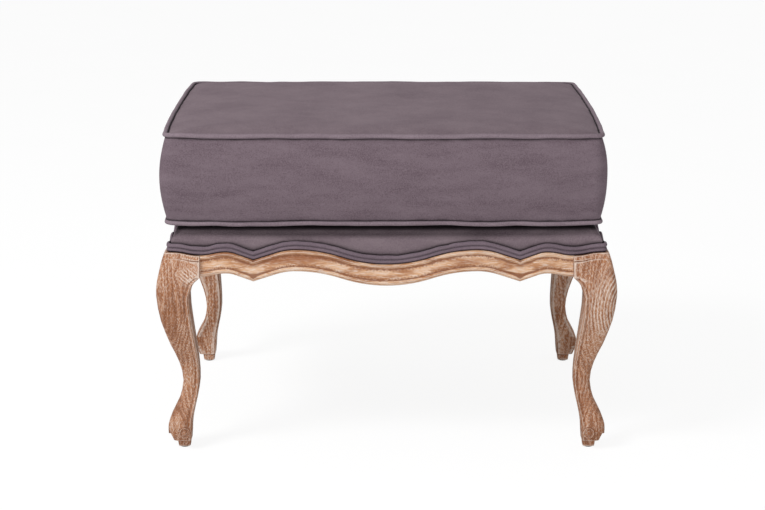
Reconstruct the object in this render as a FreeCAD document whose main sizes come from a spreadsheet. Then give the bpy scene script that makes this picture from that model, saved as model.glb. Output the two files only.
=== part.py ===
"""A French-style upholstered ottoman: a carved and limed oak frame on four cabriole legs, a webbed
and padded deck edged with double welt, and a loose piped box cushion with a zip in its back.

Millimetres. +Z is up, +X is to the right and the front faces -Y. The origin is on the floor, under
the middle of the frame. The front left leg, the front rail and the left rail are modelled, and the
other legs and rails are their mirror images.
"""

import FreeCAD
import Part

import math
import os

import Sketcher
from FreeCAD import Vector

# Driving dimensions

SIZES = [
    # The frame in plan: the leg blocks' outer faces at the top, and how rails and cover step back
    ("frame_half_width", 337.0),
    ("frame_half_depth", 252.0),
    ("leg_block", 54.0),
    ("rail_set_back", 1.0),
    ("rail_thickness", 25.0),
    ("rail_top_z", 330.0),
    ("ledge", 11.5),
    # The serpentine line of the show wood's top edge, from the middle of a rail to the corner
    ("centre_z", 295.0),
    ("hump_z", 317.5),
    ("seam_z", 309.0),
    ("corner_z", 314.0),
    ("front_hump_at", 138.0),
    ("front_hump_radius", 96.0),
    ("front_hump_turn", 18.0),
    ("front_cusp_at", 202.0),
    ("front_shoulder_at", 243.0),
    ("front_shoulder_radius", 40.0),
    ("front_shoulder_turn", 20.0),
    ("side_hump_at", 97.0),
    ("side_hump_radius", 44.0),
    ("side_hump_turn", 25.0),
    ("side_cusp_at", 141.0),
    ("side_shoulder_at", 169.0),
    ("side_shoulder_radius", 19.0),
    ("side_shoulder_turn", 28.0),
    # The moulding run along the rails
    ("show_height", 32.0),
    ("top_bead_radius", 3.5),
    ("bottom_bead_radius", 4.5),
    ("moulding_groove", 1.5),
    ("moulding_flare", 4.0),
    # The cabriole leg, station by station: height, how far its outer faces stand outside the
    # block's, its width, and the radius of its outer arris
    ("sole_z", 13.0), ("sole_out", -7.0), ("sole_width", 27.5), ("sole_round", 7.0),
    ("heel_z", 24.0), ("heel_out", -2.6), ("heel_width", 32.8), ("heel_round", 9.0),
    ("toe_z", 36.0), ("toe_out", 0.0), ("toe_width", 36.0), ("toe_round", 10.0),
    ("instep_z", 52.0), ("instep_out", -4.2), ("instep_width", 34.0), ("instep_round", 10.0),
    ("ankle_z", 76.0), ("ankle_out", -16.3), ("ankle_width", 27.3), ("ankle_round", 9.0),
    ("shank_z", 104.0), ("shank_out", -22.4), ("shank_width", 25.7), ("shank_round", 8.5),
    ("shin_z", 134.0), ("shin_out", -17.4), ("shin_width", 30.0), ("shin_round", 10.0),
    ("calf_z", 166.0), ("calf_out", -5.2), ("calf_width", 39.0), ("calf_round", 12.0),
    ("thigh_z", 206.0), ("thigh_out", 7.2), ("thigh_width", 46.8), ("thigh_round", 14.0),
    ("knee_z", 246.0), ("knee_out", 12.8), ("knee_width", 49.7), ("knee_round", 15.0),
    ("bracket_z", 264.0), ("bracket_out", 11.9), ("bracket_width", 54.3), ("bracket_round", 13.0),
    ("spandrel_z", 270.5), ("spandrel_out", 10.9), ("spandrel_width", 57.8), ("spandrel_round", 11.2),
    ("haunch_out", 9.5), ("haunch_round", 9.0),
    ("collar_z", 302.0), ("collar_out", 3.3), ("collar_round", 6.0),
    ("crown_out", -6.0), ("crown_round", 4.0),
    ("edge_bead_radius", 3.2),
    ("edge_groove_depth", 1.6),
    ("edge_groove_width", 2.4),
    ("inner_arris", 3.0),
    ("block_bead", 6.6),
    ("block_groove", 1.8),
    ("block_groove_depth", 1.3),
    ("pad_width", 18.0),
    ("pad_top_width", 21.0),
    ("pad_round", 4.0),
    ("pad_set_in", 0.7),
    ("scroll_radius", 8.5),
    ("scroll_eye_radius", 3.4),
    ("scroll_proud", 1.2),
    ("scroll_dish", 1.0),
    ("scroll_rim", 1.6),
    ("scroll_depth", 12.0),
    ("scroll_from_inside", 10.6),
    ("scroll_z", 28.0),
    ("glide_radius", 7.5),
    ("glide_thickness", 2.0),
    # Joinery: a tenon on each end of a rail, and a screwed block behind each leg
    ("tenon_thickness", 9.0),
    ("tenon_from_back", 4.0),
    ("tenon_bottom_z", 282.0),
    ("tenon_top_z", 322.0),
    ("tenon_length", 24.0),
    ("tenon_clearance", 0.1),
    ("tenon_end_gap", 1.0),
    ("brace_reach", 52.0),
    ("brace_bottom_z", 291.0),
    ("brace_height", 34.0),
    ("screw_radius", 2.5),
    ("screw_clearance", 0.15),
    ("screw_head_radius", 5.0),
    ("screw_head_height", 2.5),
    ("screw_bite", 18.0),
    # Under the cover: webbing, hessian and foam; below the frame: the dust cover
    ("strap_width", 50.0),
    ("strap_thickness", 1.2),
    ("strap_rise", 1.5),
    ("long_strap_pitch", 84.0),
    ("cross_strap_pitch", 108.0),
    ("strap_overhang", 3.0),
    ("strap_from_edge", 3.0),
    ("staple_width", 12.0),
    ("staple_wire", 0.7),
    ("staple_spacing", 24.0),
    ("staple_from_end", 7.0),
    ("hessian_thickness", 1.0),
    ("hessian_margin", 2.0),
    ("deck_top_z", 356.0),
    ("deck_edge_z", 349.0),
    ("deck_lean", 8.5),
    ("deck_roll", 16.0),
    ("deck_corner", 9.0),
    ("cover_thickness", 1.0),
    ("cover_tuck", 0.5),
    ("cover_turn_under", 1.0),
    ("welt_radius", 3.3),
    ("welt_corner", 12.0),
    ("dust_cover_thickness", 0.8),
    ("dust_cover_flange", 14.0),
    ("dust_cover_clear", 3.0),
    # The loose cushion: the outline of its piping in plan, bowed at the front and sides, and heights
    ("cushion_corner_at", 312.0),
    ("cushion_half_depth", 252.5),
    ("cushion_corner", 15.0),
    ("side_bow_radius", 6200.0),
    ("front_bow_radius", 7800.0),
    ("piping_radius", 3.6),
    ("bottom_piping_z", 359.9),
    ("top_piping_z", 492.0),
    ("boxing_bulge", 6.0),
    ("boxing_flat", 16.0),
    ("crown_z", 501.5),
    ("crown_run", 0.5),
    ("fabric", 1.0),
    ("wrap_thickness", 7.0),
    ("wrap_hollow", 3.6),
    ("wrap_edge", 16.0),
    ("wrap_shoulder", 12.0),
    ("wrap_corner", 20.0),
    ("wrap_opening", 280.0),
    # The zip in the back boxing
    ("zip_half_length", 225.0),
    ("zip_strip_half_length", 262.0),
    ("zip_half_gap", 4.0),
    ("zip_row_size", 2.0),
    ("zip_row_gap", 1.8),
    ("zip_depth", 1.2),
    ("zip_tape_width", 13.0),
    ("zip_tape_thickness", 0.6),
    ("zip_stop_length", 4.0),
    ("slider_length", 11.0),
    ("slider_width", 9.0),
    ("slider_plate", 1.0),
    ("slider_post", 1.0),
    ("slider_post_length", 3.0),
    ("slider_arch_length", 8.0),
    ("slider_arch_width", 2.0),
    ("slider_arch_bar", 0.9),
    ("pull_pin_radius", 0.6),
    ("pull_length", 24.0),
    ("pull_width", 6.4),
    ("pull_reach", 5.0),
    ("fit_gap", 0.3),
]

doc = FreeCAD.newDocument("ottoman")
sheet = doc.addObject("Spreadsheet::Sheet", "sizes")
for row, (alias, number) in enumerate(SIZES, start=1):
    sheet.set(f"A{row}", alias)
    sheet.set(f"B{row}", repr(number))
    sheet.setAlias(f"B{row}", alias)
doc.recompute()


def named(formula):
    """A formula with each cell's name, which it gives in square brackets, written as the sheet's."""
    return formula.replace("[", "sizes.").replace("]", "")


def value(formula):
    """The number that a formula gives."""
    return float(sheet.evalExpression(named(formula)))


def bind(thing, place, formula):
    thing.setExpression(place, named(formula))


# Sketches and features

LEFT = 1
RIGHT = -1


def new_body(label):
    body = doc.addObject("PartDesign::Body", label)
    body.Label = label
    return body


def sketch_on(body, name, role="XY_Plane", offset="0"):
    """An empty sketch on one of the body's origin planes, moved along that plane's normal."""
    plane = next(f for f in body.Origin.OriginFeatures if f.Role == role)
    sketch = body.newObject("Sketcher::SketchObject", name)
    sketch.AttachmentSupport = [(plane, "")]
    sketch.MapMode = "FlatFace"
    bind(sketch, "AttachmentOffset.Base.z", offset)
    return sketch


def hold(sketch, kind, edge, place, formula):
    """Bind one coordinate or radius of an edge to a formula."""
    number = value(formula)
    if kind == "Radius":
        index = sketch.addConstraint(Sketcher.Constraint(kind, edge, number))
    else:
        index = sketch.addConstraint(Sketcher.Constraint(kind, edge, place, number))
    bind(sketch, f"Constraints[{index}]", formula)


def draw(sketch, corners, closed=True):
    """Draw edges from corner to corner. A corner is (x, y), in formulas, for a line that leaves it
    or (x, y, radius, turn) for an arc of under half a circle that turns LEFT or RIGHT."""
    points = [Vector(value(corner[0]), value(corner[1]), 0) for corner in corners]
    count = len(corners) if closed else len(corners) - 1
    ends = []
    for i in range(count):
        a = points[i]
        b = points[(i + 1) % len(points)]
        if len(corners[i]) == 2:
            edge = sketch.addGeometry(Part.LineSegment(a, b))
            ends.append((edge, 1, 2))
            continue
        radius = value(corners[i][2])
        turn = corners[i][3]
        half = (b - a) * 0.5
        rise = math.sqrt(max(radius**2 - half.Length**2, 0.0))
        centre = a + half + Vector(-half.y, half.x, 0).normalize() * rise * turn
        first, last = (a, b) if turn == LEFT else (b, a)
        start = math.atan2(first.y - centre.y, first.x - centre.x)
        stop = math.atan2(last.y - centre.y, last.x - centre.x)
        edge = sketch.addGeometry(Part.ArcOfCircle(Part.Circle(centre, Vector(0, 0, 1), radius), start, stop))
        hold(sketch, "Radius", edge, None, corners[i][2])
        ends.append((edge, 1, 2) if turn == LEFT else (edge, 2, 1))
    for i in range(count):
        edge, start, stop = ends[i]
        hold(sketch, "DistanceX", edge, start, corners[i][0])
        hold(sketch, "DistanceY", edge, start, corners[i][1])
        if i + 1 < count or closed:
            following = ends[(i + 1) % count]
            sketch.addConstraint(Sketcher.Constraint("Coincident", edge, stop, following[0], following[1]))
        else:
            hold(sketch, "DistanceX", edge, stop, corners[i + 1][0])
            hold(sketch, "DistanceY", edge, stop, corners[i + 1][1])
    return sketch


def box_corners(x1, y1, x2, y2):
    return [(x1, y1), (x2, y1), (x2, y2), (x1, y2)]


def rounded(x, y, radius, first, last, steps):
    """Corners of a small round from one angle to another, as short chords."""
    turn = f"({last} - {first}) / {steps}"
    return [(f"{x} + {radius} * cos({first} + {i} * {turn})", f"{y} + {radius} * sin({first} + {i} * {turn})")
            for i in range(steps + 1)]


def soft_box(left, low, right, top, radius, steps):
    """Corners of a rectangle with each corner rounded in short chords."""
    corners = []
    for x, y, first in ((f"({right} - {radius})", f"({top} - {radius})", 0),
                        (f"({left} + {radius})", f"({top} - {radius})", 90),
                        (f"({left} + {radius})", f"({low} + {radius})", 180),
                        (f"({right} - {radius})", f"({low} + {radius})", 270)):
        corners += rounded(x, y, radius, f"{first} deg", f"{first + 90} deg", steps)
    return corners


def pad(body, name, sketch, length, back=False):
    """Pad a sketch along its normal, or the other way where back is set."""
    feature = body.newObject("PartDesign::Pad", name)
    feature.Profile = sketch
    feature.Reversed = back
    bind(feature, "Length", length)
    return feature


def pocket(body, name, sketch, length, along=False):
    """Cut a sketch against its normal, or along it where along is set."""
    feature = body.newObject("PartDesign::Pocket", name)
    feature.Profile = sketch
    feature.Reversed = along
    bind(feature, "Length", length)
    return feature


def loft(body, name, sections, cut=False, ruled=False):
    kind = "PartDesign::SubtractiveLoft" if cut else "PartDesign::AdditiveLoft"
    feature = body.newObject(kind, name)
    feature.Profile = sections[0]
    feature.Sections = sections[1:]
    feature.Ruled = ruled
    return feature


def pipe(body, name, profile, path, mode="Fixed"):
    """Carry a profile along a path, without turning it unless another mode is given."""
    feature = body.newObject("PartDesign::AdditivePipe", name)
    feature.Profile = profile
    feature.Spine = (path, [])
    feature.Mode = mode
    return feature


def mirror_in(body, features, roles):
    """Repeat features across one or two of the body's origin planes."""
    steps = []
    for role in roles:
        step = body.newObject("PartDesign::Mirrored", f"{body.Name}_{role}")
        step.Originals = features if len(roles) == 1 else []
        step.MirrorPlane = (next(f for f in body.Origin.OriginFeatures if f.Role == role), [""])
        steps.append(step)
    if len(roles) > 1:
        whole = body.newObject("PartDesign::MultiTransform", f"{body.Name}_all_round")
        whole.Originals = features
        whole.Transformations = steps
        steps.append(whole)
    body.Tip = steps[-1]
    return steps[-1]


def mirrored(source, label, normal):
    """The mirror image of a whole object across a plane through the origin."""
    image = doc.addObject("Part::Mirroring", label)
    image.Label = label
    image.Source = source
    image.Normal = normal
    return image


def four_corners(source, label):
    """One group of a front left object and its mirror images at the other three corners."""
    pair = doc.addObject("Part::Compound", f"{label}_pair")
    pair.Links = [source, mirrored(source, f"{label}_right", Vector(1, 0, 0))]
    group = doc.addObject("Part::Compound", label)
    group.Label = label
    group.Links = [pair, mirrored(pair, f"{label}_back", Vector(0, 1, 0))]
    return group


SHORTEST = 1e-6


def flat_faced(body, label):
    """The body's solid with a plane for each flat patch that its ruled lofts made."""
    doc.recompute([body])
    faces = []
    for face in body.Shape.Faces:
        straight = all(edge.Length - edge.Vertexes[0].Point.distanceToPoint(edge.Vertexes[-1].Point) < SHORTEST
                       for edge in face.Edges)
        if straight and len(face.Wires) == 1 and face.findPlane(SHORTEST):
            corners = [vertex.Point for vertex in face.OuterWire.OrderedVertexes]
            face = Part.Face(Part.makePolygon(corners + corners[:1]))
        faces.append(face)
    shell = Part.makeShell(faces)
    shell.sewShape()
    solid = doc.addObject("Part::Feature", label)
    solid.Label = label
    solid.Shape = Part.Solid(shell)
    return solid


PARTS = []


def finished(*objects):
    PARTS.extend(objects)


# The serpentine line


def wave(side, shift):
    """Corners of the show wood's top line from the seam to the rail's middle, moved up by shift.
    From the seam it swells to a shoulder, falls to a sharp cusp, rises to a hump and sinks to the
    middle, in arcs and lines that meet smoothly everywhere but at the cusp."""
    seam = "([frame_half_width] - [leg_block])" if side == "front" else "([frame_half_depth] - [leg_block])"
    hump, cusp, shoulder = (f"[{side}_{word}_at]" for word in ("hump", "cusp", "shoulder"))
    big, small = f"[{side}_hump_radius]", f"[{side}_shoulder_radius]"
    big_turn, small_turn = f"[{side}_hump_turn]", f"[{side}_shoulder_turn]"
    big_end = f"({hump} + {big} * sin({big_turn}))"
    big_end_z = f"([hump_z] - {big} * (1 - cos({big_turn})))"
    cusp_z = f"({big_end_z} - ({cusp} - {big_end}) * tan({big_turn}))"
    small_end = f"({shoulder} - {small} * sin({small_turn}))"
    small_end_z = f"({cusp_z} + ({small_end} - {cusp}) * tan({small_turn}))"
    shoulder_z = f"({small_end_z} + {small} * (1 - cos({small_turn})))"
    corners = []
    swell = slope_radius(seam, "[seam_z]", shoulder, shoulder_z)
    corners.append((seam, "[seam_z]", swell, LEFT))
    corners.append((f"({seam} + {shoulder}) / 2", f"([seam_z] + {shoulder_z}) / 2", swell, RIGHT))
    corners.append((shoulder, shoulder_z, small, RIGHT))
    corners.append((small_end, small_end_z))
    corners.append((cusp, cusp_z))
    corners.append((big_end, big_end_z, big, RIGHT))
    sink = slope_radius(hump, "[hump_z]", "0", "[centre_z]")
    corners.append((hump, "[hump_z]", sink, RIGHT))
    corners.append((f"{hump} / 2", "([hump_z] + [centre_z]) / 2", sink, LEFT))
    corners.append(("0", "[centre_z]"))
    return [(f"-({corner[0]})", f"{corner[1]} + {shift}") + corner[2:] for corner in corners]


def slope_radius(x1, z1, x2, z2):
    """The radius of two equal arcs that join two level points smoothly."""
    return f"((({x2}) - ({x1}))^2 + (({z2}) - ({z1}))^2) / (4 * abs(({z2}) - ({z1})))"


# Rails

FACE = {
    "front": "([frame_half_depth] - [rail_set_back])",
    "side": "([frame_half_width] - [rail_set_back])",
}
BACK = {side: f"({FACE[side]} - [rail_thickness])" for side in FACE}
SEAM = {
    "front": "([frame_half_width] - [leg_block])",
    "side": "([frame_half_depth] - [leg_block])",
}


def tenon_corners(side, slack):
    """The section of the tenon on a rail's end, or of its mortise with some slack all round."""
    back = f"-({BACK[side]} + [tenon_from_back])"
    return box_corners(f"{back} - [tenon_thickness] - {slack}", f"[tenon_bottom_z] - {slack}",
                       f"{back} + {slack}", f"[tenon_top_z] + {slack}")


def moulding_corners(side):
    """The rail's section at the seam: a small bead along the top, a sunk field that leans out and a
    larger bead along the bottom."""
    face = f"-{FACE[side]}"
    back = f"-({FACE[side]} - [rail_thickness])"
    small = "[top_bead_radius]"
    large = "[bottom_bead_radius]"
    small_end = f"(180 deg + acos(1 - [moulding_groove] / {small}))"
    large_start = f"(180 deg - acos(1 - [moulding_groove] / {large}))"
    bottom = "([seam_z] - [show_height])"
    corners = [(back, "[seam_z]")]
    corners += rounded(f"({face} + {small})", f"([seam_z] - {small})", small, "90 deg", small_end, 2)
    corners += rounded(f"({face} - [moulding_flare] + {large})", f"({bottom} + {large})", large,
                       large_start, "270 deg", 3)
    corners.append((back, bottom))
    return corners


def make_rail(label, side):
    """Half a rail carried to its middle and mirrored: the moulding, the tacking piece above its
    ledge, and the tenon on its end."""
    along, across = ("XZ_Plane", "YZ_Plane") if side == "front" else ("YZ_Plane", "XZ_Plane")
    body = new_body(label)
    # A sketch on XZ faces -Y and one on YZ faces +X
    end_offset = f"-{SEAM['front']}" if side == "front" else SEAM["side"]
    profile = draw(sketch_on(body, f"{label}_moulding", across, end_offset), moulding_corners(side))
    path = draw(sketch_on(body, f"{label}_line", along, "0"), wave(side, "0"), closed=False)
    moulding = pipe(body, f"{label}_carved", profile, path)
    tacking = draw(
        sketch_on(body, f"{label}_tacking", along, BACK[side] if side == "front" else f"-{BACK[side]}"),
        box_corners(f"-{SEAM[side]}", "[brace_bottom_z]", "0", "[rail_top_z]"),
    )
    upper = pad(body, f"{label}_upper", tacking, "[rail_thickness] + [rail_set_back] - [ledge]", side == "side")
    end = draw(sketch_on(body, f"{label}_tenon_section", across, end_offset), tenon_corners(side, "0"))
    tenon = pad(body, f"{label}_tenon", end, "[tenon_length]", side == "front")
    mirror_in(body, [moulding, upper, tenon], ["YZ_Plane" if side == "front" else "XZ_Plane"])
    return body


front_rail = make_rail("front_rail", "front")
left_rail = make_rail("left_rail", "side")
back_rail = mirrored(front_rail, "back_rail", Vector(0, 1, 0))
right_rail = mirrored(left_rail, "right_rail", Vector(1, 0, 0))
finished(front_rail, back_rail, left_rail, right_rail)

# Legs

HAUNCH_Z = "([seam_z] - [show_height])"
STATIONS = ["sole", "heel", "toe", "instep", "ankle", "shank", "shin", "calf", "thigh", "knee", "bracket",
            "spandrel"]


def station_levels():
    """Height, outset, width and arris of each station, with one more level worked in smoothly
    between each two."""
    levels = [[f"[{station}_{word}]" for word in ("z", "out", "width", "round")] for station in STATIONS]
    levels.append([HAUNCH_Z, "[haunch_out]", "([leg_block] + [haunch_out])", "[haunch_round]"])
    smooth = []
    for i in range(len(levels) - 1):
        a, b = levels[i], levels[i + 1]
        before, after = levels[max(i - 1, 0)], levels[min(i + 2, len(levels) - 1)]
        smooth.append(a)
        between = [f"({a[0]} + {b[0]}) / 2"]
        between += [f"(9 * ({a[k]} + {b[k]}) - {before[k]} - {after[k]}) / 16" for k in (1, 2, 3)]
        smooth.append([f"({words})" for words in between])
    smooth.append(levels[-1])
    return smooth


def leg_section(body, name, height, out, width, rounding):
    """One level cut of the leg: a soft outer arris, and along the inner edge of each show face a
    bead set off by a slanted groove."""
    x = f"(-[frame_half_width] - {out})"
    y = f"(-[frame_half_depth] - {out})"
    bead = "[edge_bead_radius]"
    foot = "acos(1 - [edge_groove_depth] / [edge_bead_radius])"
    groove = f"(2 * {bead} + [edge_groove_width])"
    inner = f"({width} - [inner_arris])"
    corners = rounded(f"({x} + {rounding})", f"({y} + {rounding})", rounding, "180 deg", "270 deg", 3)
    corners.append((f"{x} + {width} - {groove}", y))
    corners += rounded(f"({x} + {width} - {bead})", f"({y} + {bead})", bead, f"(270 deg - {foot})",
                       "360 deg", 2)
    corners.append((f"{x} + {width}", f"{y} + {inner}"))
    corners.append((f"{x} + {inner}", f"{y} + {width}"))
    corners += rounded(f"({x} + {bead})", f"({y} + {width} - {bead})", bead, "90 deg",
                       f"(180 deg + {foot})", 2)
    corners.append((x, f"{y} + {width} - {groove}"))
    return draw(sketch_on(body, name, "XY_Plane", height), corners)


def block_section(body, name, height, out, rounding):
    """One level cut of the block that the rails meet: plumb inner faces and a soft outer arris."""
    x = f"(-[frame_half_width] - {out})"
    y = f"(-[frame_half_depth] - {out})"
    corners = rounded(f"({x} + {rounding})", f"({y} + {rounding})", rounding, "180 deg", "270 deg", 3)
    corners += [
        (f"-{SEAM['front']}", y),
        (f"-{SEAM['front']}", f"-{SEAM['side']}"),
        (x, f"-{SEAM['side']}"),
    ]
    return draw(sketch_on(body, name, "XY_Plane", height), corners)


def rebate_corners(side):
    """The region above the show wood's line on one face of the leg block."""
    seam = f"-{SEAM[side]}"
    half = "[frame_half_width]" if side == "front" else "[frame_half_depth]"
    level = f"-({half} - [welt_corner])"
    past = f"-({half} + [leg_block])"
    swell = slope_radius(seam, "[seam_z]", level, "[corner_z]")
    return [
        (past, "[corner_z]"),
        (level, "[corner_z]", swell, RIGHT),
        (f"({seam} + {level}) / 2", "([seam_z] + [corner_z]) / 2", swell, LEFT),
        (seam, "[seam_z]"),
        (f"{seam} + [fit_gap]", "[seam_z]"),
        (f"{seam} + [fit_gap]", "[rail_top_z] + [fit_gap]"),
        (past, "[rail_top_z] + [fit_gap]"),
    ]


def groove_corners(side):
    """A groove that sets off a bead along the top of one face of the leg block."""
    seam = f"-{SEAM[side]}"
    half = "[frame_half_width]" if side == "front" else "[frame_half_depth]"
    level = f"-({half} - [welt_corner])"
    past = f"-({half} + [leg_block])"
    swell = slope_radius(seam, "[seam_z]", level, "[corner_z]")
    low = "([block_bead] + [block_groove])"
    return [
        (past, "[corner_z] - [block_bead]"),
        (past, f"[corner_z] - {low}"),
        (level, f"[corner_z] - {low}", swell, RIGHT),
        (f"({seam} + {level}) / 2", f"([seam_z] + [corner_z]) / 2 - {low}", swell, LEFT),
        (seam, f"[seam_z] - {low}"),
        (seam, "[seam_z] - [block_bead]", swell, RIGHT),
        (f"({seam} + {level}) / 2", "([seam_z] + [corner_z]) / 2 - [block_bead]", swell, LEFT),
        (level, "[corner_z] - [block_bead]"),
    ]


def ring(x, y, radius):
    """Corners of a small circle, as short chords."""
    return rounded(x, y, radius, "0 deg", "(360 deg * 15 / 16)", 15)


def slanted_sketch(body, name, x, y, z):
    """A sketch on an upright plane that faces the frame's middle along a front left diagonal."""
    sketch = sketch_on(body, name, "XY_Plane", z)
    half_turn = math.sqrt(0.5)
    turn = FreeCAD.Rotation(Vector(-half_turn, half_turn, 0), Vector(0, 0, 1), Vector(half_turn, half_turn, 0))
    sketch.AttachmentOffset = FreeCAD.Placement(Vector(), turn)
    bind(sketch, "AttachmentOffset.Base.x", x)
    bind(sketch, "AttachmentOffset.Base.y", y)
    bind(sketch, "AttachmentOffset.Base.z", z)
    return sketch


SCREW_Z = "([brace_bottom_z] + [brace_height] / 2)"


def make_leg():
    """The front left leg: the carved cabriole shape, its block with the rebate for the cover, a
    scroll on each show face of the toe, a small pad foot, mortises and a screw's hole."""
    body = new_body("carved_leg")
    sections = [leg_section(body, f"leg_level_{i}", *words) for i, words in enumerate(station_levels())]
    loft(body, "cabriole", sections, ruled=True)
    block = [
        block_section(body, "block_foot", HAUNCH_Z, "[haunch_out]", "[haunch_round]"),
        block_section(body, "block_collar", "[collar_z]", "[collar_out]", "[collar_round]"),
        block_section(body, "block_crown", "[rail_top_z]", "[crown_out]", "[crown_round]"),
    ]
    loft(body, "block", block, ruled=True)
    # The rebate leaves a stub, flush with the rails' tacking faces, that the cover wraps
    front_stub = "[frame_half_depth] - [ledge]"
    side_stub = "-([frame_half_width] - [ledge])"
    pocket(body, "front_rebate", draw(sketch_on(body, "front_rebate_line", "XZ_Plane", front_stub),
                                      rebate_corners("front")), "[leg_block]", True)
    pocket(body, "side_rebate", draw(sketch_on(body, "side_rebate_line", "YZ_Plane", side_stub),
                                     rebate_corners("side")), "[leg_block]")
    front_groove = "[frame_half_depth] + [collar_out] - [block_groove_depth]"
    side_groove = "-([frame_half_width] + [collar_out] - [block_groove_depth])"
    pocket(body, "front_groove", draw(sketch_on(body, "front_groove_line", "XZ_Plane", front_groove),
                                      groove_corners("front")), "[haunch_out]", True)
    pocket(body, "side_groove", draw(sketch_on(body, "side_groove_line", "YZ_Plane", side_groove),
                                     groove_corners("side")), "[haunch_out]")
    # The pad foot stands under the inner part of the toe
    inside_x = "(-[frame_half_width] - [sole_out] + [sole_width] - [pad_set_in])"
    inside_y = "(-[frame_half_depth] - [sole_out] + [sole_width] - [pad_set_in])"
    feet = []
    for name, height, width in (("pad_bottom", "[glide_thickness]", "[pad_width]"),
                                ("pad_top", "[sole_z] + [fit_gap]", "[pad_top_width]")):
        slack = f"([pad_top_width] - {width}) / 2"
        right = f"({inside_x} - {slack})"
        top = f"({inside_y} - {slack})"
        corners = soft_box(f"({right} - {width})", f"({top} - {width})", right, top, "[pad_round]", 3)
        feet.append(draw(sketch_on(body, name, "XY_Plane", height), corners))
    loft(body, "pad_foot", feet, ruled=True)
    # A round scroll with a dished ring about its eye, on each show face
    out = "[toe_out] + [scroll_proud]"
    for face, role, sign, half, other in (
            ("front", "XZ_Plane", "", "[frame_half_depth]", "[frame_half_width]"),
            ("side", "YZ_Plane", "-", "[frame_half_width]", "[frame_half_depth]")):
        at = f"-{other} - [toe_out] + [toe_width] - [scroll_from_inside]"
        disc = sketch_on(body, f"{face}_scroll_disc", role, f"{sign}({half} + {out})")
        draw(disc, ring(at, "[scroll_z]", "[scroll_radius]"))
        pad(body, f"{face}_scroll", disc, "[scroll_depth]", face == "front")
        dish = sketch_on(body, f"{face}_scroll_ring", role, f"{sign}({half} + {out} - [scroll_dish])")
        draw(dish, ring(at, "[scroll_z]", "([scroll_radius] - [scroll_rim])"))
        draw(dish, ring(at, "[scroll_z]", "[scroll_eye_radius]"))
        pocket(body, f"{face}_scroll_dish", dish, "[scroll_dish] + [scroll_proud]", face == "front")
    # A mortise in each inner face, and the screw's hole in the edge between them
    depth = "[tenon_length] + [tenon_end_gap]"
    mortise = draw(sketch_on(body, "front_mortise_section", "YZ_Plane", f"-{SEAM['front']}"),
                   tenon_corners("front", "[tenon_clearance]"))
    pocket(body, "front_mortise", mortise, depth)
    mortise = draw(sketch_on(body, "side_mortise_section", "XZ_Plane", SEAM["side"]),
                   tenon_corners("side", "[tenon_clearance]"))
    pocket(body, "side_mortise", mortise, depth, True)
    hole = slanted_sketch(body, "screw_hole", f"-{SEAM['front']}", f"-{SEAM['side']}", SCREW_Z)
    draw(hole, ring("0", "0", "([screw_radius] + [screw_clearance])"))
    pocket(body, "screw_bore", hole, "[screw_bite] + [fit_gap]")
    return flat_faced(body, "front_left_leg")


front_left_leg = make_leg()
front_right_leg = mirrored(front_left_leg, "front_right_leg", Vector(1, 0, 0))
back_left_leg = mirrored(front_left_leg, "back_left_leg", Vector(0, 1, 0))
back_right_leg = mirrored(front_right_leg, "back_right_leg", Vector(0, 1, 0))
finished(front_left_leg, front_right_leg, back_left_leg, back_right_leg)

# Joinery


def box(name, corner, size):
    """A block from its low corner and its three lengths, all formulas."""
    block = doc.addObject("Part::Box", name)
    for axis, formula in zip("xyz", corner):
        bind(block, f"Placement.Base.{axis}", formula)
    for length, formula in zip(("Length", "Width", "Height"), size):
        bind(block, length, formula)
    return block


def rod(name, start, radius, length, axis=Vector(0, 0, 1)):
    """A small round rod from the middle of its end along an axis, with sixteen flats."""
    flats = doc.addObject("Part::Prism", name)
    flats.Polygon = 16
    flats.Placement = FreeCAD.Placement(Vector(), FreeCAD.Rotation(Vector(0, 0, 1), axis))
    for letter, formula in zip("xyz", start):
        bind(flats, f"Placement.Base.{letter}", formula)
    bind(flats, "Circumradius", radius)
    bind(flats, "Height", length)
    return flats


def fused(label, pieces):
    """Pieces that are one solid in the real object."""
    whole = doc.addObject("Part::MultiFuse", label)
    whole.Label = label
    whole.Shapes = pieces
    return whole


def cut(label, base, tool):
    whole = doc.addObject("Part::Cut", label)
    whole.Label = label
    whole.Base = base
    whole.Tool = tool
    return whole


def common(label, base, tool):
    whole = doc.addObject("Part::Common", label)
    whole.Label = label
    whole.Base = base
    whole.Tool = tool
    return whole


def group(label, pieces):
    """Separate solids that share one node."""
    whole = doc.addObject("Part::Compound", label)
    whole.Label = label
    whole.Links = pieces
    return whole


def make_corner_block():
    """A block glued round the leg's inner corner, between the rails' backs, with a hole for its
    screw through its slanted face."""
    body = new_body("front_left_corner_block")
    seam_x, seam_y = f"-{SEAM['front']}", f"-{SEAM['side']}"
    back_x, back_y = f"-{BACK['side']}", f"-{BACK['front']}"
    plan = draw(sketch_on(body, "corner_block_plan", "XY_Plane", "[brace_bottom_z]"), [
        (seam_x, back_y),
        (f"{seam_x} + [brace_reach]", back_y),
        (back_x, f"{seam_y} + [brace_reach]"),
        (back_x, seam_y),
        (seam_x, seam_y),
    ])
    pad(body, "corner_block_height", plan, "[brace_height]")
    hole = slanted_sketch(body, "block_screw_hole", f"{seam_x} + {SCREW_STEP}", f"{seam_y} + {SCREW_STEP}", SCREW_Z)
    draw(hole, ring("0", "0", "([screw_radius] + [screw_clearance])"))
    pocket(body, "block_screw_bore", hole, "[brace_reach]")
    return body


# From the leg's inner edge to the block's slanted face, along X or Y
SCREW_STEP = f"([brace_reach] - {BACK['front']} + {SEAM['side']}) / 2"


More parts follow.
